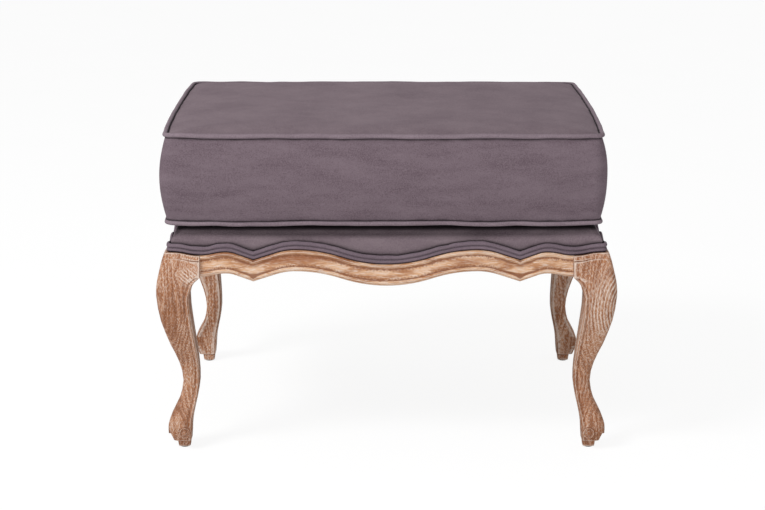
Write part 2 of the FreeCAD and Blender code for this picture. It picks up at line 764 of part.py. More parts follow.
def make_screws():
    """A pan-headed screw through each corner block into the leg's inner edge."""
    slant = Vector(1, 1, 0)
    tip = "- [screw_bite] * cos(45)"
    seat = f"+ {SCREW_STEP}"
    seam_x, seam_y = f"-{SEAM['front']}", f"-{SEAM['side']}"
    screw = fused("corner_screw", [
        rod("screw_shank", (f"{seam_x} {tip}", f"{seam_y} {tip}", SCREW_Z), "[screw_radius]",
            f"[screw_bite] + {SCREW_STEP} / cos(45)", slant),
        rod("screw_head", (f"{seam_x} {seat}", f"{seam_y} {seat}", SCREW_Z), "[screw_head_radius]",
            "[screw_head_height]", slant),
    ])
    return four_corners(screw, "corner_block_screws")


def make_glides():
    """A felt glide under each foot."""
    at_x = "-[frame_half_width] - [sole_out] + [sole_width] - [pad_set_in] - [pad_top_width] / 2"
    at_y = "-[frame_half_depth] - [sole_out] + [sole_width] - [pad_set_in] - [pad_top_width] / 2"
    glide = rod("glide", (at_x, at_y, "0"), "[glide_radius]", "[glide_thickness]")
    return four_corners(glide, "foot_glides")


corner_block = make_corner_block()
front_right_block = mirrored(corner_block, "front_right_corner_block", Vector(1, 0, 0))
back_left_block = mirrored(corner_block, "back_left_corner_block", Vector(0, 1, 0))
back_right_block = mirrored(front_right_block, "back_right_corner_block", Vector(0, 1, 0))
finished(corner_block, front_right_block, back_left_block, back_right_block)
finished(make_screws(), make_glides())

# Webbing

STRAPS = (-2, -1, 0, 1, 2)


def strap_face(half_length, pitch, first_high):
    """The long section of one strap, which rises over every other strap that it crosses."""
    base = value("[rail_top_z]")
    thickness = value("[strap_thickness]")
    flat = value("[strap_width] / 2 + [strap_overhang]")
    bearing = value("[rail_thickness] + [rail_set_back] - [ledge] - [strap_from_edge]")
    lower = [(-half_length, base), (bearing - half_length, base)]
    for i in STRAPS:
        height = base + (value("[strap_rise]") if (i % 2 == 0) == first_high else 0.0)
        lower += [(i * pitch - flat, height), (i * pitch + flat, height)]
    lower += [(half_length - bearing, base), (half_length, base)]
    upper = [(along, height + thickness) for along, height in reversed(lower)]
    return lower + upper


def make_webbing(label, along_x):
    """Straps woven over and under those that cross them, their ends lying on the rails."""
    width = value("[strap_width]")
    if along_x:
        half_length = value("[frame_half_width] - [ledge] - [strap_from_edge]")
        pitch, crossing = value("[long_strap_pitch]"), value("[cross_strap_pitch]")
    else:
        half_length = value("[frame_half_depth] - [ledge] - [strap_from_edge]")
        pitch, crossing = value("[cross_strap_pitch]"), value("[long_strap_pitch]")
    straps = []
    for i in STRAPS:
        outline = strap_face(half_length, crossing, (i % 2 == 0) == along_x)
        low = i * pitch - width / 2
        if along_x:
            points = [Vector(along, low, height) for along, height in outline]
            reach = Vector(0, width, 0)
        else:
            points = [Vector(low, along, height) for along, height in outline]
            reach = Vector(width, 0, 0)
        straps.append(Part.Face(Part.makePolygon(points + points[:1])).extrude(reach))
    webbing = doc.addObject("Part::Feature", label)
    webbing.Label = label
    webbing.Shape = Part.makeCompound(straps)
    return webbing


def make_staples():
    """Two staples across each end of each strap, lying on it over the rail."""
    wire, width = value("[staple_wire]"), value("[staple_width]")
    top = value("[rail_top_z] + [strap_thickness]")
    inset = value("[ledge] + [strap_from_edge] + [staple_from_end]")
    end_x, end_y = value("[frame_half_width]") - inset, value("[frame_half_depth]") - inset
    offsets = (-value("[staple_spacing]") / 2, value("[staple_spacing]") / 2)
    staples = []
    for i in STRAPS:
        for side in (-1, 1):
            for offset in offsets:
                across = i * value("[long_strap_pitch]") + offset
                corner = Vector(side * end_x - wire / 2, across - width / 2, top)
                staples.append(Part.makeBox(wire, width, wire, corner))
                across = i * value("[cross_strap_pitch]") + offset
                corner = Vector(across - width / 2, side * end_y - wire / 2, top)
                staples.append(Part.makeBox(width, wire, wire, corner))
    feature = doc.addObject("Part::Feature", "webbing_staples")
    feature.Label = "webbing_staples"
    feature.Shape = Part.makeCompound(staples)
    return feature


HESSIAN_Z = "([rail_top_z] + [strap_rise] + [strap_thickness] + [fit_gap])"


def make_hessian():
    """The cloth that lies on the webbing."""
    half_x = "([frame_half_width] - [ledge] - [hessian_margin])"
    half_y = "([frame_half_depth] - [ledge] - [hessian_margin])"
    return box("hessian_cloth", (f"-{half_x}", f"-{half_y}", HESSIAN_Z),
               (f"2 * {half_x}", f"2 * {half_y}", "[hessian_thickness]"))


finished(make_webbing("webbing_lengthwise", True), make_webbing("webbing_crosswise", False))
finished(make_staples(), make_hessian())

# The upholstered deck


def deck_level(body, name, height, inset, corner):
    """One level cut of the deck: a rectangle with rounded corners, inset from the cover's outside."""
    x = f"([frame_half_width] - [ledge] + [cover_thickness] - ({inset}))"
    y = f"([frame_half_depth] - [ledge] + [cover_thickness] - ({inset}))"
    corners = soft_box(f"(-{x})", f"(-{y})", x, y, f"({corner})", 2)
    return draw(sketch_on(body, name, "XY_Plane", height), corners)


def deck_levels(body, name, skin):
    """The deck's levels: its foot round the frame, its leaning flank, and the roll onto its top.
    skin is the depth below the cover's outside."""
    levels = []
    tuck = f"[cover_tuck] + [cover_thickness] - {skin}"
    steps = [("[rail_top_z]", skin, tuck), ("[deck_edge_z]", f"[deck_lean] + {skin}", "[deck_corner]")]
    for turn in (30, 60, 90):
        inset = f"[deck_lean] + [deck_roll] * (1 - cos({turn})) + {skin}"
        height = f"[deck_edge_z] + ([deck_top_z] - [deck_edge_z]) * sin({turn}) - {skin}"
        steps.append((height, inset, f"[deck_corner] + [deck_roll] * (1 - cos({turn})) / 2"))
    for i, (height, inset, corner) in enumerate(steps):
        levels.append(deck_level(body, f"{name}_{i}", height, inset, corner))
    return levels


def line_round_corner(side, shift, end):
    """Corners of the show wood's line from a level end past the leg to the rail's middle."""
    half = "[frame_half_width]" if side == "front" else "[frame_half_depth]"
    seam = f"-{SEAM[side]}"
    level = f"-({half} - [welt_corner])"
    swell = slope_radius(seam, "[seam_z]", level, "[corner_z]")
    return [
        (end, f"[corner_z] + {shift}"),
        (level, f"[corner_z] + {shift}", swell, RIGHT),
        (f"({seam} + {level}) / 2", f"([seam_z] + [corner_z]) / 2 + {shift}", swell, LEFT),
    ] + wave(side, shift)


def make_cover():
    """The velvet cover: it hangs over the tacking faces down to the show wood's line, leans in with
    the foam and rolls onto the top. Its edge is cut to the line on all four sides."""
    body = new_body("fitted_cover")
    low = "[centre_z]"
    corner = "[cover_tuck] + [cover_thickness]"
    walls = [deck_level(body, "cover_foot", low, "0", corner)] + deck_levels(body, "cover_level", "0")
    loft(body, "cover_outside", walls, ruled=True)
    skin = "[cover_thickness]"
    hollow = [deck_level(body, "hollow_foot", low, skin, "[cover_tuck]")] + deck_levels(body, "hollow_level", skin)
    loft(body, "cover_inside", hollow, cut=True, ruled=True)
    trims = []
    for side, role, other, sign in (("front", "XZ_Plane", "[frame_half_depth]", ""),
                                    ("side", "YZ_Plane", "[frame_half_width]", "-")):
        half = "[frame_half_width]" if side == "front" else "[frame_half_depth]"
        past = f"-({half})"
        trim = sketch_on(body, f"{side}_edge", role, f"{sign}({other} - [ledge] - [cover_tuck])")
        line = line_round_corner(side, "[cover_turn_under]", past)
        draw(trim, line + [("0", f"{low} - [cover_thickness]"), (past, f"{low} - [cover_thickness]")])
        trims.append(pocket(body, f"{side}_trim", trim, "[ledge]", side == "front"))
    mirror_in(body, trims, ["YZ_Plane", "XZ_Plane"])
    return flat_faced(body, "deck_cover")


def make_deck_foam():
    body = new_body("deck_foam")
    skin = "([cover_thickness] + [fit_gap])"
    foot = f"({HESSIAN_Z} + [hessian_thickness] + [fit_gap])"
    levels = deck_levels(body, "foam_level", skin)
    lean = f"[deck_lean] * ({foot} - [rail_top_z]) / ([deck_edge_z] - [rail_top_z])"
    first = deck_level(body, "foam_foot", foot, f"{lean} + {skin}", "[deck_corner] / 2")
    loft(body, "foam_form", [first] + levels[1:], ruled=True)
    return body


def welt_corners(back):
    """The section of the welt at the corner of the deck: two cords one above the other."""
    r = "[welt_radius]"
    low = "([corner_z] + [fit_gap])"
    return [
        (back, low),
        (back, f"{low} + 4 * {r}"),
        (f"{back} - 2 * {r}", f"{low} + 3 * {r}"),
        (f"{back} - {r}", f"{low} + 2 * {r}"),
        (f"{back} - 2 * {r}", f"{low} + {r}"),
    ]


def make_welt():
    """Double welt: two cords side by side in one strip, glued over the cover's edge along the show
    wood. A quarter is carried along the line and mirrored round the deck."""
    body = new_body("double_welt")
    strips = []
    for side, along, across, sign in (("front", "XZ_Plane", "YZ_Plane", "-"), ("side", "YZ_Plane", "XZ_Plane", "")):
        half, other = ("[frame_half_width]", "[frame_half_depth]")
        if side == "side":
            half, other = other, half
        stand = "- [ledge] + [cover_thickness] + [fit_gap]"
        end = f"-({half} {stand})"
        profile = draw(sketch_on(body, f"{side}_welt_section", across, f"{sign}({half} {stand})"),
                       welt_corners(f"-({other} {stand})"))
        path = draw(sketch_on(body, f"{side}_welt_line", along, "0"), line_round_corner(side, "[fit_gap]", end),
                    closed=False)
        strips.append(pipe(body, f"{side}_welt", profile, path))
    # The strip turns round the corner about the cover's own corner
    bend = sketch_on(body, "welt_bend_section", "YZ_Plane", f"-([frame_half_width] {stand})")
    bind(bend, "AttachmentOffset.Base.x", f"-([frame_half_depth] {stand})")
    turned = body.newObject("PartDesign::Revolution", "welt_bend")
    turned.Profile = draw(bend, welt_corners("0"))
    turned.ReferenceAxis = (bend, ["V_Axis"])
    turned.Angle = 90
    turned.Reversed = True
    mirror_in(body, strips + [turned], ["YZ_Plane", "XZ_Plane"])
    return body


finished(make_deck_foam(), make_cover(), make_welt())

# The dust cover


def make_dust_cover():
    """A thin black cloth under the webbing, notched round the legs, its sides turned up against the
    rails' backs."""
    body = new_body("dust_cover")
    x, y = BACK["side"], BACK["front"]
    leg_x, leg_y = SEAM["front"], SEAM["side"]
    z = "([brace_bottom_z] - [fit_gap] - [dust_cover_thickness])"
    sheet_plan = draw(sketch_on(body, "dust_cover_plan", "XY_Plane", z), [
        (f"-{leg_x}", f"-{y}"), (leg_x, f"-{y}"), (leg_x, f"-{leg_y}"), (x, f"-{leg_y}"),
        (x, leg_y), (leg_x, leg_y), (leg_x, y), (f"-{leg_x}", y),
        (f"-{leg_x}", leg_y), (f"-{x}", leg_y), (f"-{x}", f"-{leg_y}"), (f"-{leg_x}", f"-{leg_y}"),
    ])
    pad(body, "dust_cover_sheet", sheet_plan, "[dust_cover_thickness]")
    t = "[dust_cover_thickness]"
    reach_x = f"({leg_x} - [brace_reach] - [dust_cover_clear])"
    reach_y = f"({leg_y} - [brace_reach] - [dust_cover_clear])"
    rims = []
    for name, corners in (
            ("front", box_corners(f"-{reach_x}", f"-{y}", reach_x, f"-{y} + {t}")),
            ("back", box_corners(f"-{reach_x}", f"{y} - {t}", reach_x, y)),
            ("left", box_corners(f"-{x}", f"-{reach_y}", f"-{x} + {t}", reach_y)),
            ("right", box_corners(f"{x} - {t}", f"-{reach_y}", x, reach_y))):
        plan = draw(sketch_on(body, f"{name}_flange_plan", "XY_Plane", z), corners)
        rims.append(pad(body, f"{name}_flange", plan, "[dust_cover_flange]"))
    return body


finished(make_dust_cover())

# The cushion's cover

BOXING_BOTTOM = "([bottom_piping_z] + [piping_radius] + [fit_gap])"
BOXING_TOP = "([top_piping_z] - [piping_radius] - [fit_gap])"
BOXING_MIDDLE = f"(({BOXING_BOTTOM} + {BOXING_TOP}) / 2)"
PANEL_INSET = "(2 * [piping_radius] + [fit_gap])"


def cushion_outline(inset, corner, smooth=False, share="1"):
    """The cushion's outline in plan, moved in by an inset: a straight back, bowed sides and front,
    and corners of a given radius that meet them smoothly. It is in short chords, which may be drawn
    at a share of their size, or where smooth is set in arcs."""
    half_depth = f"([cushion_half_depth] - {inset})"
    front = f"([front_bow_radius] - {inset})"
    side = f"([side_bow_radius] - {inset})"
    across = f"([cushion_corner_at] + [cushion_corner] - {inset} - {corner})"
    front_y = f"({front} - {half_depth} - sqrt(({front} - {corner})^2 - {across}^2))"
    side_centre = f"(sqrt(({side} - {corner})^2 - {front_y}^2) - {across})"
    back_y = f"({half_depth} - {corner})"
    back_x = f"(sqrt(({side} - {corner})^2 - {back_y}^2) - {side_centre})"
    lean_front = f"asin({across} / ({front} - {corner}))"
    lean_side = f"asin({front_y} / ({side} - {corner}))"
    lean_back = f"asin({back_y} / ({side} - {corner}))"
    rounds = [
        (f"(-{back_x})", back_y, corner, "90 deg", f"(180 deg - {lean_back})"),
        (side_centre, "0", side, f"(180 deg - {lean_back})", f"(180 deg - {lean_side})"),
        (f"(-{across})", front_y, corner, f"(180 deg - {lean_side})", f"(270 deg - {lean_front})"),
        ("0", f"({front} - {half_depth})", front, f"(270 deg - {lean_front})", f"(270 deg + {lean_front})"),
        (across, front_y, corner, f"(270 deg + {lean_front})", f"(360 deg + {lean_side})"),
        (f"(-{side_centre})", "0", side, lean_side, lean_back),
        (back_x, back_y, corner, lean_back, "90 deg"),
    ]
    if smooth:
        corners = [rounded(*bend, 1)[0] + (bend[2], LEFT) for bend in rounds]
    else:
        corners = sum([rounded(*bend, 4)[:-1] for bend in rounds], [])
    corners += rounded(*rounds[-1], 1)[1:]
    if smooth:
        return corners
    return [(f"{share} * ({x})", f"{share} * ({y})") for x, y in corners]


def natural(inset):
    """The corner radius that keeps an inset outline parallel to the piping's."""
    return f"([cushion_corner] - {inset})"


def make_piping(label, height):
    """Cord in a bias strip, sewn into the seam all round."""
    body = new_body(label)
    r = "[piping_radius]"
    back = f"([cushion_half_depth] - {r})"
    path = draw(sketch_on(body, f"{label}_path", "XY_Plane", height),
                [("0", back)] + cushion_outline(r, natural(r), smooth=True))
    section = draw(sketch_on(body, f"{label}_section", "YZ_Plane", "0"),
                   rounded(back, height, r, "22.5 deg", "337.5 deg", 7))
    pipe(body, f"{label}_cord", section, path, "Standard")
    return body


def boxing_levels(body, name, skin):
    """Levels of the boxing, which bulges between the two pipings and stands plumb at mid height."""
    swell = "([piping_radius] + [boxing_bulge])"
    rise = f"({BOXING_TOP} - {BOXING_BOTTOM})"
    steps = [
        (BOXING_BOTTOM, f"([piping_radius] + {skin})"),
        (f"{BOXING_BOTTOM} + {rise} / 5", f"([piping_radius] - {swell} * sin(36) + {skin})"),
        (f"{BOXING_MIDDLE} - [boxing_flat]", f"({skin} - [boxing_bulge])"),
        (f"{BOXING_MIDDLE} + [boxing_flat]", f"({skin} - [boxing_bulge])"),
        (f"{BOXING_TOP} - {rise} / 5", f"([piping_radius] - {swell} * sin(36) + {skin})"),
        (BOXING_TOP, f"([piping_radius] + {skin})"),
    ]
    return [
        draw(sketch_on(body, f"{name}_{i}", "XY_Plane", height), cushion_outline(inset, natural(inset)))
        for i, (height, inset) in enumerate(steps)
    ]


def make_boxing():
    """The strip round the cushion's sides, with its back stretch in two halves about the zip."""
    body = new_body("boxing_all_round")
    loft(body, "boxing_outside", boxing_levels(body, "boxing_outer", "0"), ruled=True)
    loft(body, "boxing_inside", boxing_levels(body, "boxing_inner", "[fabric]"), cut=True, ruled=True)
    strip = flat_faced(body, "boxing_strip")
    half = "[zip_strip_half_length]"
    start = "[cushion_half_depth] - [wrap_edge] - [fabric]"
    deep = "[wrap_edge] + [fabric] + 2 * [boxing_bulge]"
    whole = box("back_stretch", (f"-{half}", start, BOXING_BOTTOM),
                (f"2 * {half}", deep, f"{BOXING_TOP} - {BOXING_BOTTOM}"))
    tall = f"{BOXING_TOP} - {BOXING_MIDDLE} - [zip_half_gap]"
    upper = box("upper_stretch", (f"-{half}", start, f"{BOXING_MIDDLE} + [zip_half_gap]"),
                (f"2 * {half}", deep, tall))
    lower = box("lower_stretch", (f"-{half}", start, BOXING_BOTTOM), (f"2 * {half}", deep, tall))
    finished(cut("cushion_boxing", strip, whole), common("zip_panel_upper", strip, upper),
             common("zip_panel_lower", strip, lower))


def crown_levels(body, name, drop, steps=(0, 1, 2, 3, 4)):
    """Levels of the top's crown, from the panel's edge up to its flat middle, lowered by drop. Each
    is the panel's outline at a smaller share of its size."""
    levels = []
    for i in steps:
        height = f"[top_piping_z] + ([crown_z] - [top_piping_z]) * sin({i * 22.5}) - {drop}"
        outline = cushion_outline(PANEL_INSET, natural(PANEL_INSET), share=f"(1 - [crown_run] * {i} / 4)")
        levels.append(draw(sketch_on(body, f"{name}_{i}", "XY_Plane", height), outline))
    return levels


def make_top_panel():
    body = new_body("crowned_panel")
    loft(body, "top_panel_outside", crown_levels(body, "top_outer", "0"), ruled=True)
    loft(body, "top_panel_inside", crown_levels(body, "top_inner", "[fabric]"), cut=True, ruled=True)
    return flat_faced(body, "cushion_top_panel")


def make_bottom_panel():
    body = new_body("cushion_bottom_panel")
    plan = draw(sketch_on(body, "bottom_panel_plan", "XY_Plane", "[bottom_piping_z] - [piping_radius]"),
                cushion_outline(PANEL_INSET, natural(PANEL_INSET)))
    pad(body, "bottom_panel_cloth", plan, "[fabric]")
    return body


finished(make_piping("cushion_piping_bottom", "[bottom_piping_z]"), make_piping("cushion_piping_top", "[top_piping_z]"))
make_boxing()
finished(make_top_panel(), make_bottom_panel())

# The cushion's filling

FILLING_BOTTOM = "([bottom_piping_z] - [piping_radius] + [fabric] + [fit_gap])"


def foam_outline(slack):
    inset = f"([piping_radius] + [wrap_thickness] - {slack})"
    return cushion_outline(inset, "[wrap_corner]")


FOAM_BOTTOM = f"({FILLING_BOTTOM} + [wrap_thickness])"
FOAM_TOP = "([top_piping_z] - [wrap_shoulder] - [fit_gap])"


def make_wrap():
    """Fibre wrap that gives the cushion its full sides and crown round the square-edged foam, open
    at the back where the zip lets the foam in."""
    body = new_body("wrap_form")
    steps = [
        (FILLING_BOTTOM, "[wrap_edge]"),
        (f"{FILLING_BOTTOM} + [wrap_shoulder]", "[piping_radius]"),
        (BOXING_MIDDLE, "([wrap_hollow] - [boxing_bulge])"),
        ("[top_piping_z] - [wrap_shoulder]", "[piping_radius]"),
    ]
    levels = [
        draw(sketch_on(body, f"wrap_level_{i}", "XY_Plane", height),
             cushion_outline(inset, f"([wrap_corner] - {inset})"))
        for i, (height, inset) in enumerate(steps)
    ]
    levels += crown_levels(body, "wrap_crown", "([fabric] + [fit_gap])", (1, 2, 4))
    loft(body, "wrap_outside", levels, ruled=True)
    hollow = draw(sketch_on(body, "wrap_hollow_plan", "XY_Plane", f"{FOAM_TOP} + [fit_gap]"),
                  foam_outline("[fit_gap]"))
    pocket(body, "wrap_inside", hollow, f"{FOAM_TOP} - {FOAM_BOTTOM} + 2 * [fit_gap]")
    opening = draw(sketch_on(body, "wrap_opening_plan", "XZ_Plane", "-[cushion_half_depth] / 2"),
                   box_corners("-[wrap_opening]", f"{FOAM_BOTTOM} + [wrap_shoulder]", "[wrap_opening]",
                               f"{FOAM_TOP} - [wrap_shoulder]"))
    pocket(body, "wrap_back_opening", opening, "[cushion_half_depth]")
    return flat_faced(body, "cushion_wrap")


def make_foam():
    body = new_body("cushion_foam")
    plan = draw(sketch_on(body, "foam_plan", "XY_Plane", FOAM_BOTTOM), foam_outline("0"))
    pad(body, "foam_block", plan, f"{FOAM_TOP} - {FOAM_BOTTOM}")
    return body


finished(make_wrap(), make_foam())

# The zip

BACK_Y = "([cushion_half_depth] + [boxing_bulge])"


def zip_box(name, x1, x2, y1, y2, z1, z2):
    """A block between two X, two Y from the cushion's back face, and two Z from its mid height."""
    return box(name, (x1, f"{BACK_Y} + {y1}", f"{BOXING_MIDDLE} + {z1}"),
               (f"{x2} - ({x1})", f"{y2} - ({y1})", f"{z2} - ({z1})"))


def make_zip():
    """The zip's two tapes behind the panels, its two rows and the stops at their ends."""
    tape_back = "(-[fabric] - [zip_tape_thickness])"
    tape_edge = "([zip_row_gap] / 2 + [slider_post])"
    row_front = "([zip_depth] - [fabric])"
    row_near, row_far = "([zip_row_gap] / 2)", "([zip_row_gap] / 2 + [zip_row_size])"
    end = "[zip_half_length]"
    inner = f"({end} - [zip_stop_length])"
    tapes = [
        zip_box("tape_above", f"-{end}", end, tape_back, "-[fabric]", tape_edge, f"({tape_edge} + [zip_tape_width])"),
        zip_box("tape_below", f"-{end}", end, tape_back, "-[fabric]", f"(-{tape_edge} - [zip_tape_width])",
                f"(-{tape_edge})"),
    ]
    rows = [
        zip_box("row_above", f"-{inner}", inner, "-[fabric]", row_front, row_near, row_far),
        zip_box("row_below", f"-{inner}", inner, "-[fabric]", row_front, f"(-{row_far})", f"(-{row_near})"),
    ]
    stops = [
        zip_box("stop_left", f"-{end}", f"-{inner}", "-[fabric]", row_front, f"(-{row_far})", row_far),
        zip_box("stop_right", inner, end, "-[fabric]", row_front, f"(-{row_far})", row_far),
    ]
    return group("zip_tapes", tapes), group("zip_rows", rows), group("zip_stops", stops)


SLIDER_X = "([zip_half_length] - [zip_stop_length] - [slider_length] / 2 - [fit_gap])"
PLATE_FRONT = "([zip_depth] - [fabric] + [fit_gap] + [slider_plate])"
PIN_Y = f"({PLATE_FRONT} + [fit_gap] + [pull_pin_radius])"


def make_slider():
    """Two plates either side of the rows, the post between them, and the arch that holds the pull."""
    half = "[slider_length] / 2"
    tape_back = "(-[fabric] - [zip_tape_thickness] - [fit_gap])"
    arch_top = f"({PIN_Y} + [pull_pin_radius] + [fit_gap] + [slider_arch_bar])"
    arch_half = "[slider_arch_length] / 2"
    wide = "[slider_arch_width] / 2"
    low, high = f"({SLIDER_X} - {half})", f"({SLIDER_X} + {half})"
    post_low = f"({SLIDER_X} - [slider_post_length] / 2)"
    post_high = f"({SLIDER_X} + [slider_post_length] / 2)"
    left, right = f"({SLIDER_X} - {arch_half})", f"({SLIDER_X} + {arch_half})"
    bar = "[slider_arch_bar]"
    return fused("zip_slider", [
        zip_box("outer_plate", low, high, f"({PLATE_FRONT} - [slider_plate])", PLATE_FRONT,
                "(-[slider_width] / 2)", "[slider_width] / 2"),
        zip_box("inner_plate", low, high, f"({tape_back} - [slider_plate])", tape_back,
                "(-[slider_width] / 2 + [slider_plate])", "([slider_width] / 2 - [slider_plate])"),
        zip_box("post", post_low, post_high, tape_back, f"({PLATE_FRONT} - [slider_plate])",
                "(-[slider_post] / 2)", "[slider_post] / 2"),
        zip_box("arch_left", left, f"({left} + {bar})", PLATE_FRONT, arch_top, f"(-{wide})", wide),
        zip_box("arch_right", f"({right} - {bar})", right, PLATE_FRONT, arch_top, f"(-{wide})", wide),
        zip_box("arch_bar", left, right, f"({arch_top} - {bar})", arch_top, f"(-{wide})", wide),
    ])


def make_pull():
    """A flat tab on two arms that carry a pin through the slider's arch."""
    thick = "[pull_pin_radius]"
    half = "[pull_width] / 2"
    near = "([slider_arch_width] / 2 + [fit_gap])"
    tab_end, tab_start = f"({SLIDER_X} - [pull_length])", f"({SLIDER_X} - [pull_reach])"
    past = f"({SLIDER_X} + {thick})"
    low, high = f"({PIN_Y} - {thick})", f"({PIN_Y} + {thick})"
    return fused("zip_pull", [
        zip_box("tab", tab_end, tab_start, low, high, f"(-{half})", half),
        zip_box("arm_above", tab_start, past, low, high, near, half),
        zip_box("arm_below", tab_start, past, low, high, f"(-{half})", f"(-{near})"),
        rod("pin", (SLIDER_X, f"{BACK_Y} + {PIN_Y}", f"{BOXING_MIDDLE} - {half}"), "[pull_pin_radius]",
            "[pull_width]"),
    ])


finished(*make_zip(), make_slider(), make_pull())

# Check and write

doc.recompute()
for thing in doc.Objects:
    faults = [state for state in thing.State if state in ("Invalid", "Error")]
    if faults:
        raise SystemExit(f"{thing.Label} is {faults}")
os.makedirs("parts", exist_ok=True)
for part in PARTS:
    if part.Shape.isNull() or not part.Shape.isValid():
        raise SystemExit(f"{part.Label} has no sound shape")
    part.Shape.exportStep(os.path.join("parts", f"{part.Label}.step"))
    box = part.Shape.BoundBox
    print(f"{part.Label}: {len(part.Shape.Solids)} solids, {part.Shape.Volume:.0f} mm3, "
          f"x {box.XMin:.1f} to {box.XMax:.1f}, y {box.YMin:.1f} to {box.YMax:.1f}, "
          f"z {box.ZMin:.1f} to {box.ZMax:.1f}")
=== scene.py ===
# %% [markdown]
# # A French-style ottoman in velvet and limed oak
#
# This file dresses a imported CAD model. The carved frame comes from the CAD as it is and gets its
# timber, and every soft thing (the loose cushion, the tight deck, the double welt, the cloths and
# the webbing) is modelled here in the space that its CAD solid holds.

# %% Start
import functools
import math

import bmesh
import bpy
import numpy as np
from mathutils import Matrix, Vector, noise
from mathutils.bvhtree import BVHTree


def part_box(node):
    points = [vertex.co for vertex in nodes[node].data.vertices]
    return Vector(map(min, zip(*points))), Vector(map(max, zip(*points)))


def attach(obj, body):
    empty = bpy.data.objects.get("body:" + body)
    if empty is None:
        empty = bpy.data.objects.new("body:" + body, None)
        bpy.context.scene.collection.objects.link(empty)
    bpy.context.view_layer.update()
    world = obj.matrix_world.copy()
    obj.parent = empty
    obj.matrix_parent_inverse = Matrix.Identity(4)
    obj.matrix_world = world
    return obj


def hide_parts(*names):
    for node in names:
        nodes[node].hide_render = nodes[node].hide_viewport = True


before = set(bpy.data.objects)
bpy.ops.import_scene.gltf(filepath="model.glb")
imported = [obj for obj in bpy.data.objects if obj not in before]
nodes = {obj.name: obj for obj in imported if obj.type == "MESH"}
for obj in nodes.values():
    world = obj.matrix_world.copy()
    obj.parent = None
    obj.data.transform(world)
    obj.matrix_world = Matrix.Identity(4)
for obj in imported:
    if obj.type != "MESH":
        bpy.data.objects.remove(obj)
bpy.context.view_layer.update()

MM = 0.001

# %% [markdown]
# ## Colours and nodes
#
# A hex colour is written for a screen (sRGB), and a shader works in linear light, so one function
# turns the one into the other. A second function adds a node with its settings and its links, which
# keeps each material short enough to read as a recipe. An input takes a number, a node (its first
# output is used) or one socket of a node.

# %% Colour and node helpers
def linear(hex_colour):
    channels = [int(hex_colour[i:i + 2], 16) / 255 for i in (1, 3, 5)]
    return [c / 12.92 if c <= 0.04045 else ((c + 0.055) / 1.055) ** 2.4 for c in channels] + [1.0]


def add(tree, kind, inputs=None, stops=None, **settings):
    """Add a shader node, or another kind by its full name. Stops are the places and colours (hex, or
    a grey number) of a colour ramp."""
    node = tree.nodes.new(kind if "Node" in kind else "ShaderNode" + kind)
    for name, setting in settings.items():
        setattr(node, name, setting)
    for name, source in (inputs or {}).items():
        if isinstance(source, bpy.types.Node):
            source = source.outputs[0]
        if isinstance(source, bpy.types.NodeSocket):
            tree.links.new(source, node.inputs[name])
        else:
            node.inputs[name].default_value = source
    if stops:
        elements = node.color_ramp.elements
        while len(elements) < len(stops):
            elements.new(0.5)
        for element, (place, colour) in zip(elements, stops):
            element.position = place
            element.color = linear(colour) if isinstance(colour, str) else (colour, colour, colour, 1.0)
    return node


def blank(name):
    """A new material, its node tree and the tree's only node so far: a place on the object."""
    material = bpy.data.materials.new(name)
    material.use_nodes = True
    tree = material.node_tree
    tree.nodes.clear()
    return material, tree, add(tree, "TexCoord").outputs["Object"]


# A wave texture repeats every tau / 20 units at scale 1, so this over a pitch is its scale
WAVE = math.tau / 20

# %% [markdown]
# ## Velvet
#
# Upholstery velvet is a short, dense pile on a woven back. It looks dark where you look down into
# the pile and paler where light catches the sides of the fibres, and hands leave faint smudges
# where the pile lies another way. On a boxed cushion the smudges run level, as a hand strokes it.
# So the colour moves between two close mauve greys in long soft smudges, a fine grain breaks that
# up, and sheen adds the pale edge. In seams and gaps a node that measures how closed-in a point is
# turns the colour almost black: painted shade. The piping's strip is cut on the bias, and its
# velvet is painted a shade paler, a painted highlight on the cord. The boxing's velvet is painted a
# shade darker than the top, painted shade on the upright side. The deck's painted shade reaches
# further, because the cushion overhangs it. Fibres stand about 0.1 mm apart, too fine to show, so
# the grain is drawn coarser, at 1.7 mm.

# %% Velvet
SMUDGE_HEIGHT, SMUDGE_LENGTH = 22 * MM, 85 * MM
PILE = 1.7 * MM
# Painted shade: how far it reaches in seams and on the deck under the cushion's overhang, and its colour
SEAM_SHADE_REACH, OVERHANG_SHADE_REACH = 15 * MM, 28 * MM
PAINTED_SEAM_SHADE, PILE_SHEEN = "#150f12", "#b8a9b2"


